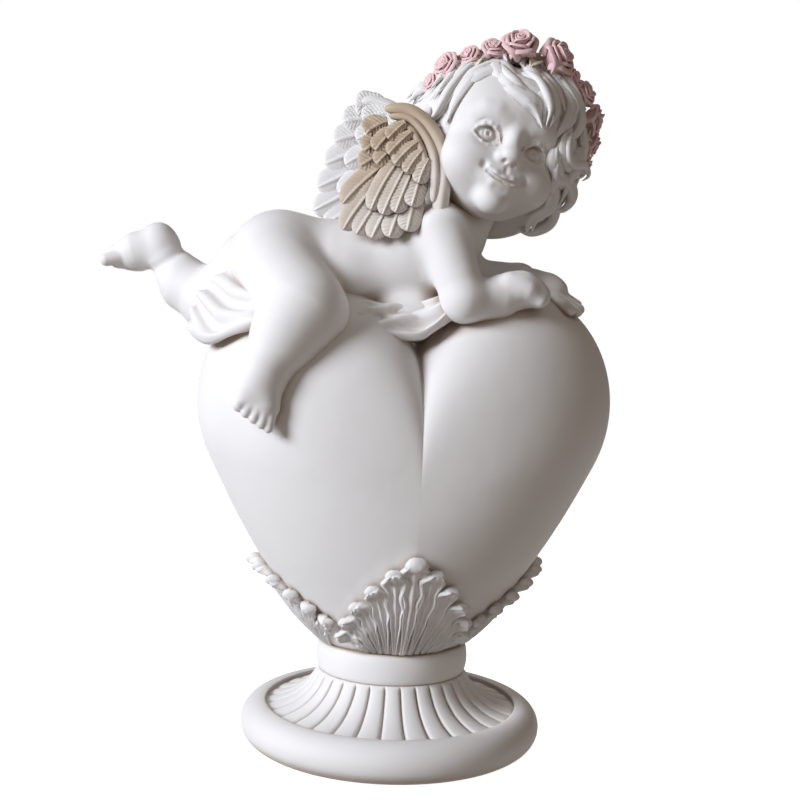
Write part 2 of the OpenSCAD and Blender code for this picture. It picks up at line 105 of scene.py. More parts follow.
def sweepLoops(paths, up, halfWidth, halfHeight, around=12, grooves=0, grooveDepth=0.0):
    # an oval carried along each path: path + side * width * cos + lift * height * sin, its size
    # rippled round the loop where it is grooved
    tangents = unit(np.gradient(paths, axis=-2))
    side = unit(np.cross(tangents, up))
    lift = np.cross(side, tangents)
    angle = np.linspace(0, 2 * np.pi, around, endpoint=False)
    ripple = 1 - grooveDepth * (0.5 + 0.5 * np.cos(grooves * angle)) if grooves else 1
    return (paths[..., None, :]
            + side[..., None, :] * (halfWidth[..., None] * np.cos(angle) * ripple)[..., None]
            + lift[..., None, :] * (halfHeight[..., None] * np.sin(angle) * ripple)[..., None])


def addPiece(name, points, faces, material, slotName, nodeNames, normals=None, weld=True):
    mesh = bpy.data.meshes.new(name)
    points = np.asarray(points, dtype=np.float32).reshape(-1, 3) * 0.001
    faces = np.asarray(faces, dtype=np.int32)
    mesh.vertices.add(len(points))
    mesh.vertices.foreach_set("co", points.ravel())
    mesh.loops.add(faces.size)
    mesh.loops.foreach_set("vertex_index", faces.ravel())
    mesh.polygons.add(len(faces))
    mesh.polygons.foreach_set("loop_start", np.arange(0, faces.size, 4, dtype=np.int32))
    mesh.update(calc_edges=True)
    if weld:  # closes seams and poles, then turns the faces outwards
        work = bmesh.new()
        work.from_mesh(mesh)
        bmesh.ops.remove_doubles(work, verts=work.verts, dist=2e-6)
        bmesh.ops.recalc_face_normals(work, faces=work.faces)
        work.to_mesh(mesh)
        work.free()
    mesh.shade_smooth()
    if normals is not None:
        mesh.normals_split_custom_set_from_vertices(normals)
    mesh.materials.append(material)
    piece = bpy.data.objects.new(name, mesh)
    bpy.context.scene.collection.objects.link(piece)
    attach(piece, "root")
    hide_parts(*nodeNames)
    print(name, len(mesh.vertices), "points")
    return piece


# modelled skins: forms are melted together as distances in a volume, then skinned
def newVolume(low, high, step):
    axes = [np.arange(a, b + step, step) for a, b in zip(low, high)]
    return {"axes": axes, "low": np.array(low, float), "step": step}


def newField(volume, forms):
    farAway = 60.0
    return addForms(volume, np.full([len(a) for a in volume["axes"]], farAway, np.float32), forms)


def melt(a, b, k):
    # the nearer of two distances, rounded where they differ by less than k
    h = np.maximum(k - np.abs(a - b), 0) / k
    return np.minimum(a, b) - h * h * k * 0.25


def formDistance(form, x, y, z):
    # limb: from one ball to another, the radius changing evenly between them; egg: an ellipsoid;
    # crease: a ring round an axis
    kind = form[0]
    if kind == "limb":
        (ax, ay, az), ra, (bx, by, bz), rb = form[1:5]
        dx, dy, dz = bx - ax, by - ay, bz - az
        t = np.clip(((x - ax) * dx + (y - ay) * dy + (z - az) * dz)
                    / (dx * dx + dy * dy + dz * dz), 0, 1)
        return (np.sqrt((x - ax - t * dx) ** 2 + (y - ay - t * dy) ** 2 + (z - az - t * dz) ** 2)
                - (ra + (rb - ra) * t))
    (cx, cy, cz), size = form[1:3]
    if kind == "egg":
        u, v, w = (x - cx) / size[0], (y - cy) / size[1], (z - cz) / size[2]
        k0 = np.sqrt(u * u + v * v + w * w)
        k1 = np.sqrt((u / size[0]) ** 2 + (v / size[1]) ** 2 + (w / size[2]) ** 2)
        return k0 * (k0 - 1) / np.maximum(k1, 1e-6)
    ax, ay, az = unit(np.array(form[3], float))
    along = (x - cx) * ax + (y - cy) * ay + (z - cz) * az
    away = np.sqrt((x - cx - along * ax) ** 2 + (y - cy - along * ay) ** 2
                   + (z - cz - along * az) ** 2)
    return np.sqrt((away - size[0]) ** 2 + along ** 2) - size[1]


def formReach(form, k):
    if form[0] == "limb":
        ends = np.array([form[1], form[3]], float)
        r = max(form[2], form[4])
    else:
        ends = np.array([form[1]], float)
        r = max(form[2]) if form[0] == "egg" else sum(form[2])
    spare = r + k + 1.5
    return ends.min(0) - spare, ends.max(0) + spare


def addForms(volume, field, forms):
    # each form ends with its softness, negative where it is cut away instead of added
    for form in forms:
        k = form[-1]
        low, high = formReach(form, abs(k))
        cut = tuple(slice(np.searchsorted(a, lo), np.searchsorted(a, hi))
                    for a, lo, hi in zip(volume["axes"], low, high))
        x, y, z = (a[s] for a, s in zip(volume["axes"], cut))
        if min(len(x), len(y), len(z)) == 0:
            continue
        d = formDistance(form, x[:, None, None], y[None, :, None], z[None, None, :])
        old = field[cut]
        field[cut] = melt(old, d, k) if k > 0 else -melt(-old, d, -k)
    return field


def sampleField(field, p):
    # distance at points given in grid steps, linear between the eight nearest
    i = np.clip(np.floor(p).astype(int), 0, np.array(field.shape) - 2)
    t = p - i
    value = 0
    for dx in (0, 1):
        for dy in (0, 1):
            for dz in (0, 1):
                share = (abs(1 - dx - t[:, 0]) * abs(1 - dy - t[:, 1]) * abs(1 - dz - t[:, 2]))
                value = value + share * field[i[:, 0] + dx, i[:, 1] + dy, i[:, 2] + dz]
    return value


def fieldSkin(volume, field, shading=None):
    # one point in each grid cell that the zero level crosses, at the mean of the crossings on the
    # cell's edges, and one quad round each crossed edge; normals from the field that shades
    f = field.copy()
    f[0], f[-1] = 1, 1
    f[:, 0], f[:, -1] = 1, 1
    f[:, :, 0], f[:, :, -1] = 1, 1
    inside = f < 0
    cells, spots, quads = [], [], []
    for a in range(3):
        b, c = (a + 1) % 3, (a + 2) % 3
        first = tuple(slice(0, -1) if n == a else slice(None) for n in range(3))
        second = tuple(slice(1, None) if n == a else slice(None) for n in range(3))
        crossed = np.argwhere(inside[first] != inside[second])
        step = np.eye(3, dtype=int)[a]
        f0, f1 = f[tuple(crossed.T)], f[tuple((crossed + step).T)]
        spot = crossed + step * (f0 / (f0 - f1))[:, None]
        corners = []
        for db, dc in ((-1, -1), (0, -1), (0, 0), (-1, 0)):
            cell = crossed.copy()
            cell[:, b] += db
            cell[:, c] += dc
            corners.append(np.ravel_multi_index(cell.T, f.shape))
        cells += corners
        spots += [spot] * 4
        quad = np.stack(corners, 1)
        quad[f0 >= 0] = quad[f0 >= 0][:, ::-1]
        quads.append(quad)
    used, place = np.unique(np.concatenate(cells), return_inverse=True)
    spots, counts = np.concatenate(spots), np.bincount(place)
    points = np.stack([np.bincount(place, spots[:, n]) / counts for n in range(3)], 1)
    quads = np.searchsorted(used, np.concatenate(quads))
    shade = field if shading is None else shading
    for turn in range(2):
        slope = np.stack([sampleField(shade, points + d) - sampleField(shade, points - d)
                          for d in np.eye(3) * 0.6], 1) / 1.2
        size = np.maximum((slope ** 2).sum(1), 1e-6)
        if turn == 0:  # one step towards the true zero level, on the skin only
            off = sampleField(shade, points)
            off = np.where(np.abs(off) < 1.2 * volume["step"], off, 0)
            points = points - slope * np.clip(off / size, -0.5, 0.5)[:, None]
    return volume["low"] + points * volume["step"], quads, unit(slope)


def linearColour(hexColour):
    # sRGB hex to the linear colour that the nodes take
    c = np.array([int(hexColour[i:i + 2], 16) for i in (1, 3, 5)]) / 255
    return (*np.where(c <= 0.04045, c / 12.92, ((c + 0.055) / 1.055) ** 2.4), 1.0)


def setInputs(tree, node, inputs):
    for name, value in inputs.items():
        if isinstance(value, bpy.types.NodeSocket):
            tree.links.new(value, node.inputs[name])
        else:
            node.inputs[name].default_value = value


def addNode(tree, kind, inputs=(), **settings):
    node = tree.nodes.new(kind)
    for name, value in settings.items():
        setattr(node, name, value)
    setInputs(tree, node, dict(inputs))
    return node


def addNoise(tree, place, scale, detail, roughness=0.5):
    return addNode(tree, "ShaderNodeTexNoise", {"Vector": place, "Scale": scale, "Detail": detail,
                                                "Roughness": roughness}).outputs[0]


def addMix(tree, share, first, second):
    # the first colour turns into the second as the share goes from 0 to 1
    return addNode(tree, "ShaderNodeMix", {"Factor": share, "A": first, "B": linearColour(second)},
                   data_type="RGBA").outputs["Result"]


def addRange(tree, value, start, end, low, high, kind="SMOOTHSTEP"):
    # low where the value is at start, high where it is at end
    return addNode(tree, "ShaderNodeMapRange", {"Value": value, "From Min": start, "From Max": end,
                                                "To Min": low, "To Max": high},
                   interpolation_type=kind).outputs[0]


def addBump(tree, height, strength, distance, **inputs):
    return addNode(tree, "ShaderNodeBump", {"Height": height, "Strength": strength,
                                            "Distance": distance, **inputs}).outputs[0]


def newMaterial(name):
    material = bpy.data.materials.new(name)
    material.use_nodes = True
    tree = material.node_tree
    place = addNode(tree, "ShaderNodeTexCoord").outputs["Object"]
    return material, tree, tree.nodes["Principled BSDF"], place


def paintedResin(name, look):
    # cast resin under matt paint: cloudy body colour, a thin wash and painted shade in the hollows,
    # and grit
    material, tree, shader, place = newMaterial(name)
    cloud = addNoise(tree, place, perMetre / look["cloudSize"], 4.0, 0.55)
    colour = addMix(tree, cloud, linearColour(look["body"]), look["bodyTwo"])
    # on the tan wing this leaves the upper left darker as painted shade and the lower end pale
    if "lighterEnd" in look:  # colour fades to the lighter end colour along a direction on the object
        spot = addNode(tree, "ShaderNodeVectorMath", {0: place, 1: look["lighterAlong"]},
                       operation="DOT_PRODUCT").outputs["Value"]
        blotch = addNoise(tree, place, look["blotchScale"], 3.0)
        blurred = addNode(tree, "ShaderNodeMath", {0: blotch, 1: look["blotchShift"], 2: spot},
                          operation="MULTIPLY_ADD").outputs[0]
        fade = addRange(tree, blurred, look["lighterFrom"], look["lighterTo"], 0.0, 1.0)
        colour = addMix(tree, fade, colour, look["lighterEnd"])
    # painted shade: where ambient occlusion finds a hollow, the colour is darkened towards the wash
    # colour, part wash and part shade painted in
    hollow = addNode(tree, "ShaderNodeAmbientOcclusion",
                     {"Distance": look["washAndShadeReach"] / perMetre}, samples=8).outputs["AO"]
    depth = addRange(tree, hollow, look["washAndShadeFull"], look["washAndShadeNone"], look["washAndShadeShare"], 0.0)
    colour = addMix(tree, depth, colour, look["washAndShade"])
    if "rub" in look:  # pale paint dragged over the ridges
        ridge = addNode(tree, "ShaderNodeNewGeometry").outputs["Pointiness"]
        high = addRange(tree, ridge, 0.5, look["rubFull"], 0.0, look["rubShare"])
        colour = addMix(tree, high, colour, look["rub"])
    grit = addNoise(tree, place, perMetre / look["gritSize"], 3.0, 0.6)
    lumps = addNoise(tree, place, perMetre / look["lumpSize"], 2.0)
    soft = addBump(tree, lumps, 0.25, look["lumpHeight"] / perMetre)
    bump = addBump(tree, grit, 0.5, look["gritHeight"] / perMetre, Normal=soft)
    rough = addRange(tree, cloud, 0.0, 1.0, look["roughness"] - 0.05, look["roughness"] + 0.06,
                     "LINEAR")
    setInputs(tree, shader, {"Base Color": colour, "Roughness": rough, "Normal": bump,
                             "IOR": 1.5, "Specular IOR Level": look["shine"]})
    return material


# matt white paint on cast resin: chalky, faint warm clouds, brown wash and painted shade in the
# hollows; sizes, heights and the reach of the wash and shade are millimetres
whiteLook = {"body": "#F2F2F3", "bodyTwo": "#EBEAE9", "cloudSize": 22, "washAndShade": "#A3876C",
             "washAndShadeReach": 7, "washAndShadeFull": 0.30, "washAndShadeNone": 0.86, "washAndShadeShare": 0.6,
             "gritSize": 0.45, "gritHeight": 0.05, "lumpSize": 7.0, "lumpHeight": 0.5,
             "roughness": 0.62, "shine": 0.35}
whiteResin = paintedResin("matt white painted resin", whiteLook)
# the same paint on the hair, the acanthus and the left wing: more wash and painted shade between
# the ridges
carvedLook = dict(whiteLook, washAndShade="#8C7864", washAndShadeReach=3.5, washAndShadeFull=0.2, washAndShadeNone=0.84,
                  washAndShadeShare=0.38, lumpHeight=0.2)
carvedResin = paintedResin("matt white resin with wash and painted shade in the carving", carvedLook)
# tan paint over white: brown wash and painted shade between the feathers, the upper left kept
# darker as painted shade, bare white low down and near the arm
tanLook = dict(whiteLook, body="#D3C2AD", bodyTwo="#BBA58C", cloudSize=7, washAndShade="#65513E",
               washAndShadeReach=3.5, washAndShadeFull=0.25, washAndShadeNone=0.92, washAndShadeShare=0.85, lighterEnd="#EDE7E0",
               lighterAlong=(0.55, 0.0, -0.83), lighterFrom=-0.168, lighterTo=-0.142,
               blotchScale=160.0, blotchShift=0.012, lumpHeight=0.15)
tanResin = paintedResin("tan resin with wash and painted shade", tanLook)
# dry-brushed rose paint: dusky pink wash and painted shade in the folds, and nearly white along the
# rims
roseLook = dict(whiteLook, body="#F1D6D8", bodyTwo="#E3B4B8", cloudSize=3, washAndShade="#AE6A76",
                washAndShadeReach=1.8, washAndShadeFull=0.1, washAndShadeNone=0.85, washAndShadeShare=0.6, rub="#F6E9E7",
                rubFull=0.6, rubShare=0.6, lumpHeight=0.1, roughness=0.58)
rosePaint = paintedResin("dry-brushed rose paint", roseLook)
# cream paint with a green-grey wash and painted shade in its hollows: soft, a little duller than
# the white
creamLook = dict(whiteLook, body="#F1ECDF", bodyTwo="#E2DCC6", cloudSize=5, washAndShade="#98906E",
                 washAndShadeReach=2.5, washAndShadeFull=0.2, washAndShadeNone=0.9, washAndShadeShare=0.7, lumpHeight=0.1)
creamPaint = paintedResin("cream leaf paint", creamLook)
print("finishes made")


heart = {
    "width": 145.0, "depth": 90.0, "height": 126.0,
    "lean": 0.025,        # how far the lobes stand to the right, as a share of the width
    "puff": 0.8,          # under 1 the front and back are fuller than an ellipse
    "neckShare": 0.22,    # how much shallower it is at its seat
    "creaseDepth": 0.15, "creaseWidth": 8.0, "creaseTop": 128.0, "creaseEnd": 74.0,
    "columns": 384, "rows": 168,
}


def heartOutline(count):
    # front outline at even steps of length: an elliptic lobe from the cusp to the flank, a curve
    # to the neck and one to the tip under it, mirrored, then sheared to the right with height
    w, h = heart["width"], heart["height"]
    rx, rz, neck = w * 0.265, h / 3, 25.0
    cx, cz = w / 2 - rx, h - rz
    cusp, flank = math.acos(-cx / rx), math.radians(-28)
    turn = np.linspace(cusp, flank, 300)
    lobe = np.stack([cx + rx * np.cos(turn), cz + rz * np.sin(turn)], 1)
    t = np.linspace(0, 1, 160)[1:, None]
    side = bend(lobe[-1], np.array([neck + h * 0.19, h * 0.2]), np.array([neck, 0.0]), t)
    foot = bend(np.array([neck, 0.0]), np.array([neck * 0.54, -h * 0.095]),
                np.array([0.0, -h / 7]), t)
    right = np.concatenate([lobe, side, foot])
    loop = np.concatenate([right, right[-2:0:-1] * (-1, 1)])
    loop = np.concatenate([loop, loop[:1]])
    length = np.concatenate([[0], np.cumsum(np.linalg.norm(np.diff(loop, axis=0), axis=1))])
    even = np.linspace(0, length[-1], count, endpoint=False)
    loop = np.stack([np.interp(even, length, loop[:, n]) for n in (0, 1)], 1)
    loop[:, 0] += w * heart["lean"] * loop[:, 1] / h
    return loop


outlineLoop = heartOutline(720)
heartMid = np.array([heart["width"] * heart["lean"] * 3 / 7, heart["height"] * 3 / 7])
outlineTurn = np.arctan2(*(outlineLoop - heartMid).T[::-1])
outlineReach = np.linalg.norm(outlineLoop - heartMid, axis=1)
outlineOrder = np.argsort(outlineTurn)


def heartTaper(z):
    low = heart["height"] * 0.4
    return np.where(z < low, 1 - heart["neckShare"] * (1 - z / low) ** 2, 1.0)


def creaseShare(x, z):
    # the hollow between the lobes: deepest under the cherub and gone half way down
    middle = 3.2 + 0.03 * (126 - z)
    return 1 - heart["creaseDepth"] * np.exp(-np.abs((x - middle) / heart["creaseWidth"]) ** 1.15) \
        * ramp(z, heart["creaseEnd"], heart["creaseTop"]) ** 1.3


def heartDepth(x, z):
    # half depth at a point of the front: each ray from the middle to the outline swells as a power
    # of the cosine, the depth as the sine of the same turn
    dx, dz = x - heartMid[0], z - heartMid[1]
    reach = np.interp(np.arctan2(dz, dx), outlineTurn[outlineOrder], outlineReach[outlineOrder],
                      period=2 * np.pi)
    share = np.clip(np.hypot(dx, dz) / reach, 0, 1)
    return (heart["depth"] / 2 * np.sqrt(1 - share ** (2 / heart["puff"])) * heartTaper(z)
            * creaseShare(x, z))


def makeHeart():
    # rows turn from the back to the front, columns follow the outline; every point lies between
    # the middle and the outline by cos^puff, and is as deep as sin; below the seat it is cut flat
    loop = heartOutline(heart["columns"])
    turn = np.linspace(-np.pi / 2, np.pi / 2, heart["rows"])
    turn = turn - 0.08 * np.sin(2 * turn)  # rows closer at the rim
    share = np.cos(turn)[:, None, None] ** heart["puff"]
    share[[0, -1]] = 0
    flat = heartMid + (loop[None] - heartMid) * share
    x, z = flat[..., 0], flat[..., 1]
    y = -heart["depth"] / 2 * np.sin(turn)[:, None] * heartTaper(z) * creaseShare(x, z)
    points = np.stack([x, y, np.maximum(z, 0) + seatHeight], -1)
    return addPiece("heart", points, gridFaces(heart["rows"], heart["columns"]), whiteResin,
                    "resin_white", ["heart_body"])


makeHeart()


pedestal = {
    "footWidth": 104.0, "rim": 13.0, "top": 24.0, "beadWidth": 53.0, "beadHeight": 10.0,
    "base": 0.8, "flutes": 32, "grooveDepth": 1.0, "swell": 0.45, "beadBulge": 1.9,
}


def makeFoot():
    # one profile turned about the axis, its flare cut by grooves that run out to the rim, and each
    # flute between them slightly rounded
    p = pedestal
    rimR, rimAt = p["rim"] / 2, p["footWidth"] / 2 - p["rim"] / 2
    s = np.linspace(0, 1, 44)[:, None]
    flare = bend(np.array([p["footWidth"] / 2 - p["rim"] * 0.58, p["rim"] * 0.86]),
                 np.array([p["beadWidth"] / 2 + 3.5, p["top"] - 11.5]),
                 np.array([p["beadWidth"] / 2 - 1, p["top"]]), s)
    inner = math.atan2(flare[0, 1] - rimR - 0.35, flare[0, 0] - rimAt - 0.2)
    outer = math.asin((p["base"] - rimR) / rimR)
    a = np.linspace(inner, outer, 40)
    rim = np.stack([rimAt + rimR * np.cos(a), rimR + rimR * np.sin(a)], 1)
    under = np.array([[rimAt - 3, p["base"]], [0, p["base"]]])
    top = np.array([[0, p["top"]]])
    profile = np.concatenate([top, flare[::-1], rim, under])
    onFlare = np.zeros(len(profile))
    onFlare[1:1 + len(flare)] = ramp(np.linspace(0, 1, len(flare)), 0, 0.07) \
        * ramp(np.linspace(1, 0, len(flare)), 0.015, 0.09)
    part = np.array([0, .035, .07, .11, .17, .26, .38, .5, .62, .74, .83, .89, .93, .965])
    turn = (np.arange(p["flutes"])[:, None] + part).ravel() * 2 * np.pi / p["flutes"]
    across = np.tile(part, p["flutes"])
    near = np.minimum(across, 1 - across)
    cut = (-p["grooveDepth"] * np.exp(-(near / 0.06) ** 1.4)
           + p["swell"] * (1 - (2 * across - 1) ** 2))
    slope = unit(np.gradient(profile, axis=0))
    out = np.stack([-slope[:, 1], slope[:, 0]], 1)
    r = profile[:, 0, None] + out[:, 0, None] * onFlare[:, None] * cut
    z = profile[:, 1, None] + np.abs(out[:, 1, None]) * onFlare[:, None] * cut
    points = np.stack([r * np.cos(turn), r * np.sin(turn), z], -1)
    return addPiece("foot", points, gridFaces(len(profile), len(turn)), whiteResin, "resin_white",
                    ["foot"])


def makeBead():
    # a round-edged ring: the radius swells as the cosine between its lower and upper faces
    p = pedestal
    a = np.linspace(-np.pi / 2, np.pi / 2, 30)
    r = np.concatenate([[0], p["beadWidth"] / 2 - p["beadBulge"] * (1 - np.cos(a) ** 0.8), [0]])
    z = p["top"] + p["beadHeight"] / 2 * (1 + np.concatenate([[-1], np.sin(a), [1]]))
    turn = np.linspace(0, 2 * np.pi, 192, endpoint=False)
    points = np.stack([r[:, None] * np.cos(turn), r[:, None] * np.sin(turn),
                       np.repeat(z[:, None], len(turn), 1)], -1)
    return addPiece("neckBead", points, gridFaces(len(r), len(turn)), whiteResin, "resin_white",
                    ["neck_bead"])


makeFoot()
makeBead()
print("heart and pedestal made")


acanthus = {
    # lobes of half a leaf from its middle outwards, as [degrees round the heart, height of the
    # tip, width, size of the curled tip]
    "front": [[0, 34.5, 7.6, 3.3], [9, 31.0, 7.0, 2.5], [18, 25.5, 6.6, 2.4],
              [26.5, 19.5, 6.2, 2.3],
              [34.5, 13.5, 5.6, 2.1], [41.5, 8.0, 4.6, 1.7]],
    "side": [[0, 29.5, 7.2, 2.7], [9.5, 28.0, 6.8, 2.4], [19, 24.5, 6.4, 2.3],
             [28.5, 20.5, 6.0, 2.3],
             [37.5, 16.5, 5.6, 2.2], [46, 12.5, 5.0, 1.9]],
    "lift": 0.4, "edge": 1.3, "rib": 1.0, "curl": 3.0,
    "radius": 36.0,       # what a turn round the heart is taken to measure when lobes are slanted
    "farthest": 75.0,     # no point of the heart is farther from its axis
}


def heartReach(turn, z):
    # distance of the heart's surface from its axis in a direction, found by halving
    axis = heart["width"] * heart["lean"] * z / heart["height"]
    near, far = np.zeros_like(turn + z), np.full_like(turn + z, acanthus["farthest"])
    for _ in range(24):
        half = (near + far) / 2
        inside = np.abs(half * np.cos(turn)) < heartDepth(axis + half * np.sin(turn), z)
        near, far = np.where(inside, half, near), np.where(inside, far, half)
    return axis, (near + far) / 2


def onHeartSide(turn, z, lift):
    # the point at a turn from the front and a height, lifted along the surface's own normal
    def place(turn, z):
        axis, r = heartReach(turn, z)
        return np.stack([axis + r * np.sin(turn), -r * np.cos(turn), z + 0 * turn], -1)
    low = np.maximum(z, 0.3)
    p = place(turn, low)
    normal = unit(np.cross(place(turn + 0.004, low) - p, place(turn, low + 0.15) - p))
    p = p + normal * lift[..., None]
    p[..., 2] += z - low
    return p


def makeLeaf(name, middle, node, half):
    # every lobe is a strip from the leaf's foot to its tip, placed by its turn round the heart, its
    # height and its lift off the heart's side: two raised edges and a rib across it, its edge
    # notched by a sine, widest at three quarters of its length, its tip lifted into a curl
    lobes = np.array([[-lobe[0]] + lobe[1:] for lobe in half[:0:-1]] + half, float)
    width = lobes[:, 2]
    order = np.abs(np.arange(1 - len(half), len(half)))
    s = np.linspace(0, 1, 40)
    turnTip, zTip = np.radians(lobes[:, 0])[:, None], lobes[:, 1][:, None]
    along = turnTip * (0.6 + 0.4 * s ** 1.6)
    height = 0.6 + (zTip - 0.6) * np.sin(s * np.pi / 2 * 0.96) / math.sin(np.pi / 2 * 0.96) \
        * (0.35 + 0.65 * s ** 0.5)
    spread = (0.3 + 0.7 * ramp(s, 0.05, 0.72)) * np.sqrt(np.clip(1 - ((s - 0.72) / 0.28) ** 4
                                                                 * (s > 0.72), 0, 1))
    notch = 1 + 0.2 * np.sin(s * 2 * np.pi * 4.2 - 0.8) * ramp(s, 0.3, 0.5)
    wide = width[:, None] * spread * notch * 0.5
    lift = acanthus["lift"] + 0.4 * ramp(s, 0, 0.5) + acanthus["curl"] * ramp(s, 0.78, 1.0) \
        - 0.05 * order[:, None]
    thick = 0.5 + 0.9 * ramp(s, 0.75, 0.97)
    thick = thick * np.sqrt(np.clip(1 - ((s - 0.9) / 0.1) ** 2 * (s > 0.9), 0, 1))
    c = np.concatenate([np.linspace(-1, 1, 17), np.linspace(0.8, -0.8, 7)])
    top = np.arange(len(c)) < 17
    ridge = (acanthus["edge"] * np.exp(-((np.abs(c) - 0.72) / 0.2) ** 2)
             + acanthus["rib"] * np.exp(-(c / 0.16) ** 2)) * top
    risen = 0.35 + 0.65 * ramp(s, 0, 0.4) * ramp(-s, -1.0, -0.86)
    ridge = ridge[None, None] * risen[None, :, None]
    under = np.where(top, 0.0, -1.0)
    radius = acanthus["radius"]
    slant = np.arctan2(np.gradient(height, axis=1), np.gradient(along, axis=1) * radius)
    turn = along[..., None] + wide[..., None] * c * np.sin(slant)[..., None] / radius
    z = height[..., None] - wide[..., None] * c * np.cos(slant)[..., None]
    raised = lift[..., None] + ridge + thick[None, :, None] * (under * 2.2 + 0.5 * top
                                                               * np.sqrt(1 - c ** 2))
    points = onHeartSide(turn + math.radians(middle), z, raised)
    points[..., 2] += seatHeight
    pinchEnds(points)
    points[..., 2] = np.maximum(points[..., 2], seatHeight + 0.05)
    # a bead on the tip of each lobe, where the leaf curls back on itself
    a = np.linspace(0, np.pi, 9)[:, None]
    b = np.linspace(0, 2 * np.pi, 14, endpoint=False)
    tip = onHeartSide(along[:, -3] + math.radians(middle), height[:, -3],
                      np.full(len(lobes), acanthus["curl"] * 0.55 + 0.6))
    tip[:, 2] += seatHeight
    ballGrid = np.stack([np.sin(a) * np.cos(b), np.sin(a) * np.sin(b), np.cos(a) + 0 * b], -1)
    size = lobes[:, 3, None, None, None] * np.array([1.15, 0.8, 0.75]) \
        * (1 + 0.1 * np.sin(3 * b + 2 * a) * np.sin(a))[None, ..., None]
    beads = tip[:, None, None] + ballGrid[None] * size
    grids = joinGrids((points, gridFaces(len(s), len(c), len(lobes))),
                      (beads, gridFaces(len(a), len(b), len(lobes))))
    return addPiece(name, *grids, carvedResin, "resin_white", [node])


for name, middle, node, half in (("leafFront", 0, "leaf_front", "front"),
                                 ("leafRight", 90, "leaf_right", "side"),
                                 ("leafBack", 180, "leaf_back", "front"),
                                 ("leafLeft", -90, "leaf_left", "side")):
    makeLeaf(name, middle, node, acanthus[half])
print("leaves made")


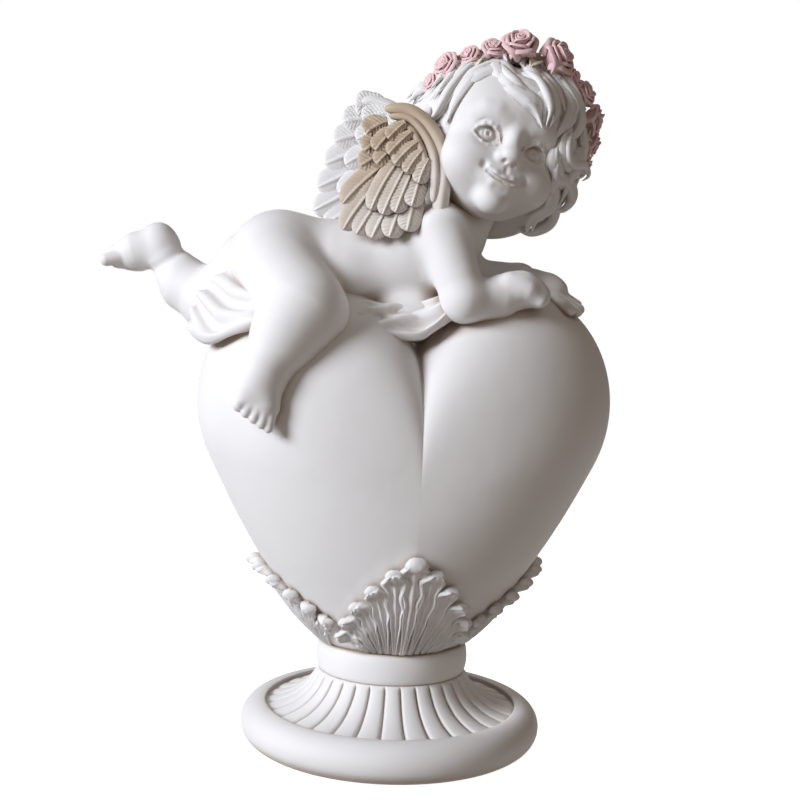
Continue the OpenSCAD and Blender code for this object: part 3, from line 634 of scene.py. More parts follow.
# limb: a ball's middle and radius, another's, softness; egg: middle, half sizes, softness;
# crease: middle, ring and tube radius, axis, softness
bodyForms = {
    "torso": [
        ("limb", (-43, -4, 130), 17, (-22, -7, 128.5), 15.5, 4),
        ("limb", (-22, -7, 128.5), 15.5, (1, -10, 133), 16.5, 4),
        ("limb", (1, -10, 133), 16.5, (12, -12, 140.5), 13.5, 4),
        ("limb", (12, -12, 141), 13, (20, -14, 149), 9, 4),
        ("egg", (-44, -11, 130.5), (15.5, 12.5, 15), 5),
        ("egg", (-50, 11, 129), (14.5, 12.5, 14), 5),
        ("egg", (1, -15, 112), (12, 11, 8.5), 5),
        ("limb", (-62, 0.5, 139.5), 0.5, (-46, 0.5, 145.5), 0.5, -3),
    ],
    "rightArm": [
        ("limb", (8.5, -24.5, 141), 8.8, (16, -30, 117.5), 7.2, 3),
        ("limb", (16, -30, 117), 7.2, (27.5, -28, 117.5), 5.9, 2.5),
        ("egg", (33.5, -27.2, 121.6), (9.4, 6.0, 5.6), 6),
        ("limb", (36.0, -28.6, 122.4), 4.2, (41.6, -29.2, 119.4), 3.2, 5),
        ("limb", (31.0, -31.0, 123.6), 2.4, (36.5, -33.0, 121.4), 1.9, 3),
        ("limb", (37.5, -31.8, 120.4), 1.9, (41.0, -32.0, 117.8), 1.6, 2.2),
    ],
    "leftArm": [
        ("limb", (17.5, 4, 142.5), 8.2, (25, 8, 129.5), 7, 3),
        ("limb", (25, 8, 129.5), 7, (42, 2, 129), 5.6, 2.5),
        ("limb", (42, 2, 129), 5.4, (50, -5, 126), 5.0, 2),
        ("egg", (51, -7, 124.8), (6.4, 6, 4.4), 3),
        ("crease", (45.0, -0.5, 128.0), (6.2, 0.6), (8, -7, -3), -1.6),
        ("limb", (52, -4, 125.5), 2.2, (60.5, -8.5, 119.6), 1.9, 1.6),
        ("limb", (52, -8, 124), 2.2, (60.2, -12.8, 117.6), 1.9, 1.3),
        ("limb", (51, -11, 123), 2.2, (58.2, -17.0, 116.4), 1.9, 1.3),
        ("limb", (50, -12, 122), 2.1, (55.0, -19.6, 116.4), 1.8, 1.3),
        ("limb", (48, -8, 124), 2.5, (46.5, -15.0, 121.0), 2.1, 1.6),
    ],
    "rightLeg": [
        ("limb", (-45, -12, 129), 15, (-35.5, -29, 111), 12.5, 3),
        ("limb", (-35.5, -29, 111), 12, (-41.5, -32.2, 102), 9.2, 8),
        ("limb", (-41.5, -32.2, 102), 9.2, (-47.6, -35.6, 90.5), 6.4, 8),
        ("limb", (-48.0, -35.8, 90), 6.6, (-52.2, -37.8, 84.0), 4.8, 5),
        ("limb", (-47.6, -35.8, 89), 5.6, (-46.8, -38.4, 80.5), 4.4, 3),
        ("egg", (-49.2, -38.0, 82.2), (5.4, 3.6, 4.6), 3),
        ("limb", (-52.6, -39.2, 83.4), 2.6, (-54.8, -40.2, 80.8), 2.2, 0.9),
        ("limb", (-51.0, -39.8, 81.6), 2.1, (-52.6, -40.9, 78.6), 1.75, 0.7),
        ("limb", (-49.0, -40.2, 80.2), 2.0, (-50.2, -41.3, 76.8), 1.65, 0.7),
        ("limb", (-47.0, -40.4, 78.8), 1.9, (-47.9, -41.4, 75.2), 1.6, 0.7),
        ("limb", (-45.2, -40.2, 77.6), 1.8, (-45.7, -41.2, 73.9), 1.5, 0.7),
    ],
    "leftLeg": [
        ("limb", (-52, 13, 129), 14, (-65.5, 19, 117), 11.8, 3),
        ("limb", (-65.5, 19, 117), 11.8, (-77, 24, 123.5), 9.6, 3),
        ("limb", (-77, 24, 123.5), 9.2, (-86, 26, 134.5), 6.8, 2.5),
        ("egg", (-88.0, 26, 141.2), (5.0, 5.2, 4.8), 4),
        ("limb", (-88, 26, 137.5), 6.6, (-96.0, 27.2, 135.2), 6.4, 4),
        ("limb", (-96, 27.2, 135.2), 6.4, (-102.4, 28.4, 133.4), 4.4, 3.5),
        ("crease", (-84.4, 25.6, 132.6), (8.2, 0.5), (9, 2, -11), -3.0),
        ("limb", (-102.0, 24.6, 132.6), 2.7, (-106.0, 23.8, 131.4), 2.4, 0.8),
        ("limb", (-102.6, 27.4, 132.8), 2.3, (-106.4, 27.0, 131.6), 1.9, 0.6),
        ("limb", (-102.2, 29.8, 133.2), 2.2, (-105.9, 29.9, 132.0), 1.8, 0.6),
        ("limb", (-101.4, 31.9, 133.8), 2.1, (-104.9, 32.4, 132.8), 1.7, 0.6),
        ("limb", (-100.3, 33.6, 134.4), 1.9, (-103.4, 34.3, 133.8), 1.6, 0.6),
    ],
}
bodyBoxes = {
    "torso": ((-70, -34, 98), (34, 30, 163)),
    "rightArm": ((-8, -42, 106), (48, -8, 156)),
    "leftArm": ((4, -28, 110), (66, 22, 156)),
    "rightLeg": ((-66, -50, 70), (-14, 10, 150)),
    "leftLeg": ((-112, -8, 98), (-30, 44, 152)),
}
seamSoftness = {"rightArm": 4.5, "leftArm": 3.0, "rightLeg": 2.6, "leftLeg": 4.5}


def makeBodyPart(part, node):
    # the limbs are melted with the torso into one skin, and each piece keeps its own share of it;
    # a limb lies a hair under the torso's skin and runs a little past the seam
    volume = newVolume(*bodyBoxes[part], 0.5)
    fields = {key: newField(volume, bodyForms[key]) for key in bodyForms}
    skin = fields["torso"].copy()
    for key, k in seamSoftness.items():
        skin = melt(skin, fields[key], k)
    if part == "torso":
        others = np.minimum.reduce([fields[key] for key in seamSoftness])
        piece = np.maximum(skin, fields["torso"] - others)
    else:
        rest = [fields[key] for key in seamSoftness if key != part]
        piece = np.maximum(skin + 0.05, fields[part] - fields["torso"] - 1.5)
        piece = np.maximum(piece, fields[part] - np.minimum.reduce(rest))
    points, faces, normals = fieldSkin(volume, piece, skin)
    points[:, 2] += seatHeight
    return addPiece(part, points, faces, whiteResin, "resin_white", [node], normals, weld=False)


for part, node in (("torso", "torso"), ("rightArm", "right_arm"), ("leftArm", "left_arm"),
                   ("rightLeg", "right_leg"), ("leftLeg", "left_leg")):
    makeBodyPart(part, node)
print("body made")


headPlace = {"at": (26.7, -19.0, 171.7), "turnY": 17.0, "turnZ": 9.0}
# lines of one eye as points of (x, z, how far behind the skin), radii and softness, which is
# negative where the line is cut in; the other eye is their mirror image
eyeOpening = ([(5.2, -5.5, -1.5), (8.2, -4.9, -1.5), (11.0, -5.3, -1.5)], (2.2, 3.4, 2.3), -0.5)
eyeLines = {
    "upperLid": ([(3.9, -6.6, 0.3), (5.0, -4.0, 0.0), (6.8, -2.3, -0.15), (8.6, -1.8, -0.2),
                  (10.6, -2.4, -0.1), (12.2, -3.8, 0.1), (13.2, -5.6, 0.3)],
                 (0.25, 0.45, 0.6, 0.62, 0.52, 0.38, 0.22), 0.7),
    "lowerLid": ([(3.9, -6.6, 0.3), (5.4, -7.9, 0.15), (7.6, -8.6, 0.05), (9.8, -8.3, 0.1),
                  (11.8, -7.1, 0.2), (13.2, -5.6, 0.3)], (0.25, 0.35, 0.4, 0.4, 0.32, 0.22), 0.7),
    "lidCrease": ([(4.6, -2.6, -0.25), (6.4, -0.5, -0.25), (8.6, 0.2, -0.25), (10.8, -0.5, -0.25),
                   (12.8, -2.4, -0.25)], (0.3, 0.42, 0.46, 0.42, 0.3), -0.6),
    "brow": ([(5.4, 1.6, 2.2), (8.0, 2.6, 2.2), (11.0, 2.4, 2.2), (13.4, 0.8, 2.2)],
             (1.2, 1.4, 1.3, 0.9), 3.5),
}
mouth = [(-6.9, -15.7), (-5.4, -17.0), (-2.9, -18.1), (0, -18.5), (2.9, -18.1), (5.4, -17.0),
         (6.9, -15.7)]
# lips and the line between them: points, how they are moved (x times, z plus, y plus), radii and
# softness
mouthLines = [
    (mouth[1:-1], (1, 1.1, 0.5), (0.5, 1.0, 0.85, 1.0, 0.5), 1.2),
    (mouth[1:-1], (0.8, -1.3, 0.75), (0.4, 1.0, 1.2, 1.0, 0.4), 1.8),
    (mouth, (1, 0, -0.25), (0.62, 0.6, 0.62, 0.66, 0.62, 0.6, 0.62), -0.45),
]
headTurn = np.array(Matrix.Rotation(math.radians(headPlace["turnZ"]), 3, "Z")
                    @ Matrix.Rotation(math.radians(headPlace["turnY"]), 3, "Y"))


def fromHead(points):
    # from the head's own frame (nose along -y, crown along +z) to the object's
    p = np.asarray(points, float) @ headTurn.T + np.array(headPlace["at"])
    return p + np.array([0, 0, seatHeight])


def bothSides(forms):
    # each form and its mirror image across the middle of the face
    out = []
    for form in forms:
        out.append(form)
        flip = [(-v[0], v[1], v[2]) if isinstance(v, tuple) and len(v) == 3 and n in (1, 3)
                else v for n, v in enumerate(form)]
        out.append(tuple(flip))
    return out


def skinAt(volume, field, x, z, deeper=0.0):
    # the point of the face in front of (x, z), found where the field turns negative along +y
    i = int(round((x - volume["low"][0]) / volume["step"]))
    k = int(round((z - volume["low"][2]) / volume["step"]))
    row = field[i, :, k]
    j = int(np.argmax(row < 0))
    y = volume["low"][1] + volume["step"] * (j - row[j] / (row[j] - row[j - 1]))
    return (x, y + deeper, z)


def chainForms(points, radii, k):
    # a limb between each point and the next
    return [("limb", a, ra, b, rb, k)
            for a, b, ra, rb in zip(points[:-1], points[1:], radii[:-1], radii[1:])]


def makeHead():
    # a plump doll-like baby face: skull, forehead, jaw and full cheeks melted together, then
    # sockets, eyeballs, lids, a snub nose, smiling lips and a ball chin laid on that skin
    volume = newVolume((-28, -29, -32), (28, 31, 28), 0.38)
    field = newField(volume, [
        ("egg", (1, 4, 1), (24.5, 24.5, 24.5), 3),
        ("egg", (0, -4, 6), (20.8, 17.0, 16.6), 7),
        ("egg", (0, -6.5, -12.5), (17.5, 14.6, 14.6), 6),
    ])
    addForms(volume, field, bothSides([
        ("egg", (10.6, -12.6, -13.4), (8.6, 7.8, 7.8), 4.5),
        ("egg", (7.6, -21.6, -4.6), (5.6, 2.6, 3.6), -4.0),     # eye socket
    ]))
    addForms(volume, field, [
        ("egg", (0, -18.2, -16.9), (6.2, 3.6, 4.8), 4),         # muzzle
        ("egg", (0, -16.4, -24.0), (5.0, 4.6, 4.2), 3.5),       # chin
        ("limb", (0, -18.6, -2.5), 1.7, (0, -21.6, -8.6), 2.2, 3.5),
        ("egg", (0, -22.8, -10.3), (3.3, 2.7, 2.6), 1.8),
    ])
    addForms(volume, field, bothSides([
        ("egg", (3.0, -20.9, -11.3), (1.8, 2.1, 1.75), 1.2),    # wings of the nose
        ("egg", (1.75, -23.4, -12.7), (0.8, 1.2, 0.75), -0.6),  # nostrils
    ]))
    skin = field.copy()
    for side in (-1, 1):
        def onSkin(x, z, deeper=0.0):
            return skinAt(volume, skin, side * x, z, deeper)

        def addLine(line):
            points, radii, k = line
            addForms(volume, field, chainForms([onSkin(*p) for p in points], radii, k))

        addLine(eyeOpening)
        ballAt = onSkin(8.2, -5.0, 3.1)
        addForms(volume, field, [
            ("egg", ballAt, (4.2, 3.2, 3.4), 0.35),
            ("crease", (ballAt[0], ballAt[1] - 3.15, -4.7), (1.75, 0.28), (side * 0.16, -1, 0.05),
             -0.3),
            ("egg", (ballAt[0], ballAt[1] - 3.2, -4.7), (0.7, 0.8, 0.7), -0.3),
        ])
        for line in eyeLines.values():
            addLine(line)
        addForms(volume, field, [("egg", onSkin(7.2, -15.5, -0.4), (0.9, 1.3, 1.0), -1.5)])
    for points, (wider, higher, deeper), radii, k in mouthLines:
        line = [skinAt(volume, skin, x * wider, z + higher, deeper) for x, z in points]
        addForms(volume, field, chainForms(line, radii, k))
    addForms(volume, field, [
        ("egg", skinAt(volume, skin, 0, -14.9, -0.7), (0.7, 1.1, 1.3), -0.9),  # under the nose
        ("egg", skinAt(volume, skin, 0, -21.6, -1.6), (4.2, 1.7, 1.1), -1.8),  # above the chin
    ])
    points, faces, normals = fieldSkin(volume, field)
    return addPiece("head", fromHead(points), faces, whiteResin, "resin_white", ["head"],
                    normals @ headTurn.T, weld=False)


makeHead()
print("head made")


drape = {
    "edge": [(-73.5, 6, 106), (-71.5, -7, 102.5), (-65, -17, 100.5), (-56, -24.5, 103.5),
             (-43, -28, 106), (-30, -29, 105), (-18, -28.5, 104.0), (-8, -28.5, 103.2),
             (1, -29, 103.4), (7, -30.2, 106.8), (14, -29.6, 112)],
    "tuck": [(-66, 4, 124), (-59.5, -8, 126.5), (-53, -14.5, 126), (-46, -17, 124), (-38, -19, 120),
             (-28, -20, 117), (-18, -20, 116.5), (-8, -20, 116), (1, -21, 116), (8, -22, 118),
             (15, -20, 121.5)],
    "roll": 1.6, "foldHeight": 1.7, "thickness": 3.4, "dip": 0.84, "columns": 240, "rows": 56,
}


def makeDrape():
    # a cloth band between the line where it is tucked under the body and its lower edge: across,
    # it bulges out as the root of a sine, folds run from the edge up towards the tuck as slanted
    # waves, and the edge is rolled; the back of the band closes it behind
    count = drape["columns"]
    edge, tuck = throughPoints(drape["edge"], count), throughPoints(drape["tuck"], count)
    s = np.linspace(0, 1, count)[:, None]
    v = np.linspace(0, 1, drape["rows"])[None, :]
    line = edge[:, None] * (1 - v[..., None]) + tuck[:, None] * v[..., None]
    along = unit(np.gradient(edge, axis=0))[:, None]
    across = unit(tuck - edge)[:, None]
    out = unit(np.cross(across, along))
    out = np.where(out[..., 1:2] > 0, -out, out)
    hanging = 1 - ramp(s, 0.26, 0.36)
    # long folds fan over the hanging end; round the middle they are short lens-shaped pleats
    fan = np.sin(2 * np.pi * (3.4 * v + 5.2 * s - 1.2 * s * v) + 0.5)
    pleat = np.sin(2 * np.pi * (2.1 * v - 3.1 * s + 0.35 * np.sin(2 * np.pi * 2.3 * s))) \
        + 0.45 * np.sin(2 * np.pi * (3.3 * v + 4.7 * s) + 1.0)
    wave = hanging * np.sign(fan) * np.abs(fan) ** 0.7 + (1 - hanging) * pleat * 0.75
    amount = drape["foldHeight"] * (0.75 + 0.25 * np.sin(2 * np.pi * 1.7 * s))
    puffed = (drape["thickness"] * np.sin(np.pi * v) ** 0.5
              + amount * wave * np.sin(np.pi * v) ** 0.6)
    roll = drape["roll"] * np.exp(-((v - 0.06) / 0.07) ** 2)
    ends = ramp(s, 0, 0.03) * ramp(-s, -1, -0.97)
    front = line + out * ((puffed + roll) * (0.3 + 0.7 * ends))[..., None]
    front[..., 2] += drape["dip"] * np.sin(2 * np.pi * (3.1 * s + 0.1)) * (1 - v) ** 2
    back = line[:, ::-1] - out * 4.5 * np.sin(np.pi * v)[..., None]
    points = np.concatenate([front, back[:, 1:-1]], 1)
    points[0], points[-1] = points[0].mean(0), points[-1].mean(0)
    points[..., 2] += seatHeight
    return addPiece("drape", points, gridFaces(count, points.shape[1]), whiteResin, "resin_white",
                    ["drape"])


makeDrape()
print("drape made")


# feathers as [root, bend, tip] in rows from the longest, which lie deepest, to the coverts, each
# row with its lift and its width; and the ridges of the leading edge as points and radius
rightWing = {
    "rows": [
        (0.0, 8.2, [
            [(-10.7, -27.9, 173.9), (-14.5, -27.2, 172.9), (-17.3, -26.6, 169.9)],
            [(-9.3, -28.1, 170.4), (-13.7, -27.3, 167.7), (-18.0, -26.4, 164.1)],
            [(-7.9, -28.4, 166.6), (-13.5, -27.3, 162.9), (-19.1, -26.2, 159.2)],
            [(-6.5, -28.6, 163.3), (-16.2, -26.9, 157.4), (-24.3, -25.1, 147.0)],
            [(-5.8, -28.7, 161.7), (-17.3, -26.7, 151.1), (-23.9, -25.1, 138.5)],
            [(-5.1, -28.8, 160.1), (-13.6, -27.2, 148.0), (-19.6, -25.8, 137.2)],
            [(-3.8, -29.1, 158.5), (-10.4, -27.8, 146.1), (-14.8, -26.7, 136.0)],
            [(-2.5, -29.3, 157.9), (-6.2, -28.5, 145.5), (-9.2, -27.8, 136.4)],
            [(-0.5, -29.7, 157.0), (-1.8, -29.4, 146.6), (-3.6, -28.9, 138.6)]]),
        (1.5, 7.0, [
            [(-7.4, -28.5, 172.1), (-11.5, -27.7, 168.7), (-14.5, -27.1, 164.1)],
            [(-5.4, -28.8, 168.2), (-9.7, -28.0, 164.9), (-14.0, -27.2, 159.6)],
            [(-4.0, -29.1, 165.0), (-11.1, -27.9, 156.5), (-15.4, -26.8, 145.0)],
            [(-2.3, -29.4, 163.4), (-7.8, -28.5, 153.9), (-11.6, -27.5, 143.6)],
            [(-0.7, -29.7, 162.5), (-4.6, -29.1, 153.4), (-7.6, -28.2, 144.4)],
            [(0.9, -30.0, 161.2), (-0.6, -29.7, 153.4), (-2.6, -29.2, 146.4)]]),
        (2.8, 5.6, [
            [(-4.9, -29.0, 173.4), (-7.7, -28.4, 171.4), (-10.6, -27.8, 167.8)],
            [(-2.9, -29.3, 170.5), (-6.6, -28.6, 167.5), (-10.3, -27.9, 162.8)],
            [(-0.9, -29.7, 167.3), (-4.6, -29.0, 164.6), (-8.3, -28.2, 159.7)],
            [(0.8, -30.0, 164.8), (-2.0, -29.4, 162.0), (-4.7, -28.9, 156.9)],
            [(2.5, -30.3, 161.9), (0.7, -29.9, 158.8), (-0.8, -29.6, 153.7)]])],
    "ridges": [
        ([(-12.0, -27.6, 178.4), (-3.8, -29.2, 177.4), (2.6, -30.4, 172.3), (6.7, -31.2, 164.6),
          (7.6, -31.0, 157.2), (7.2, -29.6, 149.1), (7.2, -27.0, 141.0)], 3.0),
        ([(-10.6, -28.6, 175.9), (-3.7, -30.4, 174.4), (1.0, -31.4, 169.5), (3.9, -32.2, 162.9),
          (4.7, -32.0, 156.1), (4.6, -30.6, 148.0)], 1.9),
        ([(-8.8, -29.4, 173.2), (-4.0, -30.8, 171.5), (-1.2, -31.6, 167.2), (1.2, -32.2, 161.0),
          (2.4, -32.0, 154.8)], 1.5)],
}
leftWing = {
    "rows": [
        (0.0, 11.0, [
            [(-5.0, 11.4, 187.8), (-11.7, 12.0, 190.9), (-18.6, 12.6, 190.6)],
            [(-5.0, 11.4, 185.6), (-14.5, 12.2, 186.3), (-22.7, 13.0, 184.0)],
            [(-4.8, 11.4, 182.4), (-15.7, 12.3, 180.7), (-25.7, 13.2, 176.6)],
            [(-4.0, 11.4, 178.6), (-16.2, 12.4, 174.4), (-28.6, 13.5, 168.4)],
            [(-3.1, 11.3, 175.0), (-16.6, 12.5, 167.4), (-31.0, 13.8, 159.8)],
            [(-2.3, 11.3, 171.4), (-16.4, 12.5, 160.1), (-32.2, 13.9, 151.4)],
            [(-1.4, 11.2, 167.8), (-13.7, 12.2, 154.5), (-28.0, 13.5, 147.0)]]),
        (1.4, 8.6, [
            [(-2.9, 11.3, 187.4), (-9.4, 11.8, 187.6), (-15.9, 12.3, 185.4)],
            [(-2.7, 11.3, 184.5), (-9.9, 11.9, 182.0), (-17.7, 12.5, 177.4)],
            [(-2.5, 11.3, 179.4), (-11.8, 12.0, 174.6), (-21.4, 12.9, 168.3)],
            [(-2.4, 11.3, 175.0), (-12.3, 12.1, 166.6), (-23.6, 13.1, 158.1)],
            [(-0.8, 11.1, 171.5), (-9.9, 11.9, 162.3), (-20.5, 12.8, 152.4)]]),
        (2.6, 6.8, [
            [(0.5, 11.0, 184.5), (-5.0, 11.5, 183.0), (-10.5, 12.0, 179.0)],
            [(1.5, 11.0, 179.5), (-4.5, 11.5, 176.0), (-11.0, 12.0, 170.0)],
            [(2.5, 10.8, 174.0), (-4.0, 11.3, 168.5), (-10.5, 12.0, 161.0)],
            [(3.5, 10.5, 168.0), (-2.0, 11.0, 161.0), (-8.0, 11.6, 153.0)]])],
    "ridges": [
        ([(-17.6, 12.5, 191.4), (-11.8, 12.0, 192.0), (-5.1, 11.4, 190.0), (0.5, 11.0, 184.6),
          (4.6, 10.0, 176.2), (7.6, 7.0, 166.5), (9.6, 1.0, 154.7), (10.0, -5.0, 146.0)], 3.0),
        ([(-14.0, 11.2, 189.0), (-6.0, 10.2, 187.0), (-1.5, 9.6, 181.6), (2.0, 8.6, 173.2),
          (4.6, 6.0, 163.5), (6.6, 0.5, 153.0)], 1.9)],
}


def featherGrids(feathers, width, front, lift):
    # front is -1 for a feather that faces the front and 1 for the back; each is a curve from root
    # through bend to tip, widest past its middle and round at its end; across, it is arched as a
    # power of 1 - c2, with a quill down the middle and slanted barbs cut as squared sines
    p = np.array(feathers, float)
    s = np.linspace(0, 1, 64)
    paths = bend(p[:, None, 0], p[:, None, 1], p[:, None, 2], s[None, :, None])
    length = np.linalg.norm(np.diff(paths, axis=1), axis=2).sum(1)[:, None, None]
    way = unit(np.gradient(paths, axis=1))
    side = unit(np.cross(way, np.array([0, front, 0.0])))
    normal = unit(np.cross(side, way))
    normal = np.where(normal[..., 1:2] * front < 0, -normal, normal)
    spread = (0.45 + 0.55 * ramp(s, 0, 0.5)) * np.sqrt(np.clip(
        1 - (np.clip(s - 0.74, 0, 1) / 0.26) ** 2.4, 0, 1))
    half = width / 2 * spread
    c = np.concatenate([np.linspace(-1, 1, 25), np.linspace(0.85, -0.85, 13)])
    top = (np.arange(len(c)) < 25) * 1.0
    arch = (1.15 * top + 0.35 * (1 - top)) * (1 - c ** 2) ** 0.7 - 0.7 * (1 - top)
    quill = 0.35 * np.exp(-(c / 0.1) ** 2)
    slant = s[None, :, None] * length - 1.5 * np.abs(c) * width / 5
    barbs = -0.3 * np.abs(np.sin(slant * np.pi / 1.25)) ** 2 * (np.abs(c) > 0.12) \
        * (1 - np.abs(c) ** 8)
    height = arch + (quill + barbs) * (2 * top - 1)
    height = (height * (0.35 + 0.65 * spread)[None, :, None] + lift
              + 0.8 * ramp(s, 0.6, 1)[None, :, None])
    points = (paths[:, :, None] + side[:, :, None] * (half[None, :, None] * c)[..., None]
              + normal[:, :, None] * height[..., None])
    pinchEnds(points)
    return points, gridFaces(len(s), len(c), len(p))


def makeWing(look, name, material, slotName, node):
    grids = []
    for row, (lift, width, feathers) in enumerate(look["rows"]):
        grids.append(featherGrids(feathers, width, -1, lift))
        if row:  # coverts on the hidden side too
            grids.append(featherGrids(feathers, width, 1, lift * 0.7))
    for line, radius in look["ridges"]:
        s = np.linspace(0, 1, 90)
        path = throughPoints(line, len(s))
        size = radius * np.sqrt(np.clip(1 - np.abs(2 * s - 1) ** 7, 0, 1)) * (0.8 + 0.25 * s)
        loop = sweepLoops(path[None], np.array([0, 1.0, 0]), size[None], size[None], 24, 6, 0.08)
        grids.append((loop, gridFaces(len(s), 24)))
    points, faces = joinGrids(*grids)
    points[:, 2] += seatHeight
    return addPiece(name, points, faces, material, slotName, [node])


makeWing(rightWing, "rightWing", tanResin, "feather_tan", "right_wing")
makeWing(leftWing, "leftWing", carvedResin, "resin_white", "left_wing")
print("wings made")


wreath = {
    "middle": (4.0, 9.0, 6.0), "tilt": 130.0, "ring": 27.5, "vine": 3.6,
    "roses": [0.6, 0.68, 0.78, 0.68, 0.54, 1.0, 0.92, 0.6, 0.54, 0.74, 0.54], "rose": 12.0,
    # rings of petals from the outside: how many, how wide, how high, how far the rim is rolled
    "petals": [[5, 0.98, 1.02, 0.42], [4, 0.76, 1.22, 0.24], [3, 0.52, 1.36, 0.12]],
    "turns": [7.4, 22.0, 38.3, 54.6, 68.6, 86.0, 106.4, 123.4, 136.5, 151.0, 165.7],
    # leaves as [turn, side of the ring]
    "leaves": [[15, -1], [31, 1], [45, -1], [59, 1], [75, -1], [94, 1], [98, -1], [116, -1],
               [131, 1], [145, -1], [160, 1], [172, -1], [178, 1], [186, -1], [292, 1], [318, 1],
               [340, 1]],
    "leafLength": 7.6, "leafWidth": 4.6, "leafSheet": 0.7, "petalSheet": 0.9,
}
wreathTurn = np.array(Matrix.Rotation(math.radians(wreath["tilt"]), 3, "X"))


def fromWreath(points):
    return fromHead(np.asarray(points, float) @ wreathTurn.T + np.array(wreath["middle"]))


def ringFrame(degrees):
    # outward, along and sideways directions of the wreath's ring at a turn
    a = np.radians(degrees)
    out = np.stack([np.cos(a), np.sin(a), 0 * a], -1)
    along = np.stack([-np.sin(a), np.cos(a), 0 * a], -1)
    return out, along, np.zeros_like(out) + [0, 0, 1.0]


def makeVine():
    # two thin stems wound round each other along the ring: each centre line circles the ring's own
    t = np.linspace(0, 2 * np.pi, 420)
    grids = []
    for phase in (0, np.pi):
        r = wreath["ring"] + 0.85 * np.cos(11 * t + phase)
        path = np.stack([r * np.cos(t), r * np.sin(t), 0.85 * np.sin(11 * t + phase)], -1)
        size = wreath["vine"] * 0.27 * (1 + 0.12 * np.sin(23 * t + phase))
        up = np.stack([np.cos(t), np.sin(t), 0 * t], -1)
        loop = sweepLoops(path[None], up[None], size[None], size[None], 12)
        loop[:, -1] = loop[:, 0]
        grids.append((loop, gridFaces(len(t), 12)))
    points, faces = joinGrids(*grids)
    return addPiece("wreathVine", fromWreath(points), faces, creamPaint, "leaf_cream",
                    ["wreath_vine"])


def addThickness(piece, metres):
    wall = piece.modifiers.new("thickness", "SOLIDIFY")
    wall.thickness, wall.offset = metres, 0


def makeWreathLeaves():
    # a pointed oval sheet for each leaf: folded up along its midrib, with sunk side veins and a
    # wavy rim, bent back towards its tip
    spots = np.array(wreath["leaves"], float)
    rng = np.random.default_rng(11)
    n = len(spots)
    out, along, sideways = ringFrame(spots[:, 0])
    s = np.linspace(0, 1, 22)[None, :, None]
    c = np.linspace(-1, 1, 15)[None, None, :]
    slant = rng.uniform(-0.5, 0.5, n)[:, None]
    way = unit(sideways * spots[:, 1:2] + along * slant + out * 0.25)
    cross = unit(np.cross(out, way))
    size = rng.uniform(0.85, 1.1, n)[:, None, None]
    half = wreath["leafWidth"] / 2 * size * np.sin(np.pi * s ** 0.75) ** 0.8
    half = half * (1 + 0.08 * np.cos(2 * np.pi * 5 * s))
    veins = np.abs(np.sin(np.pi * (6 * s - 2.2 * np.abs(c))))
    height = (0.9 * np.abs(c) * half * 0.55 - 0.18 * veins
              + 1.2 * np.sin(np.pi * s * 0.9) - 2.0 * s ** 2)
    start = out * (wreath["ring"] + 0.6) + sideways * spots[:, 1:2] * 0.6
    length = wreath["leafLength"] * size * s
    points = (start[:, None, None] + way[:, None, None] * length[..., None]
              + cross[:, None, None] * (half * c)[..., None]
              + out[:, None, None] * height[..., None])
    faces = gridFaces(s.shape[1], c.shape[2], n, closed=False)
    piece = addPiece("wreathLeaves", fromWreath(points), faces, creamPaint, "leaf_cream",
                     ["wreath_leaves"])
    addThickness(piece, wreath["leafSheet"] / perMetre)
    return piece


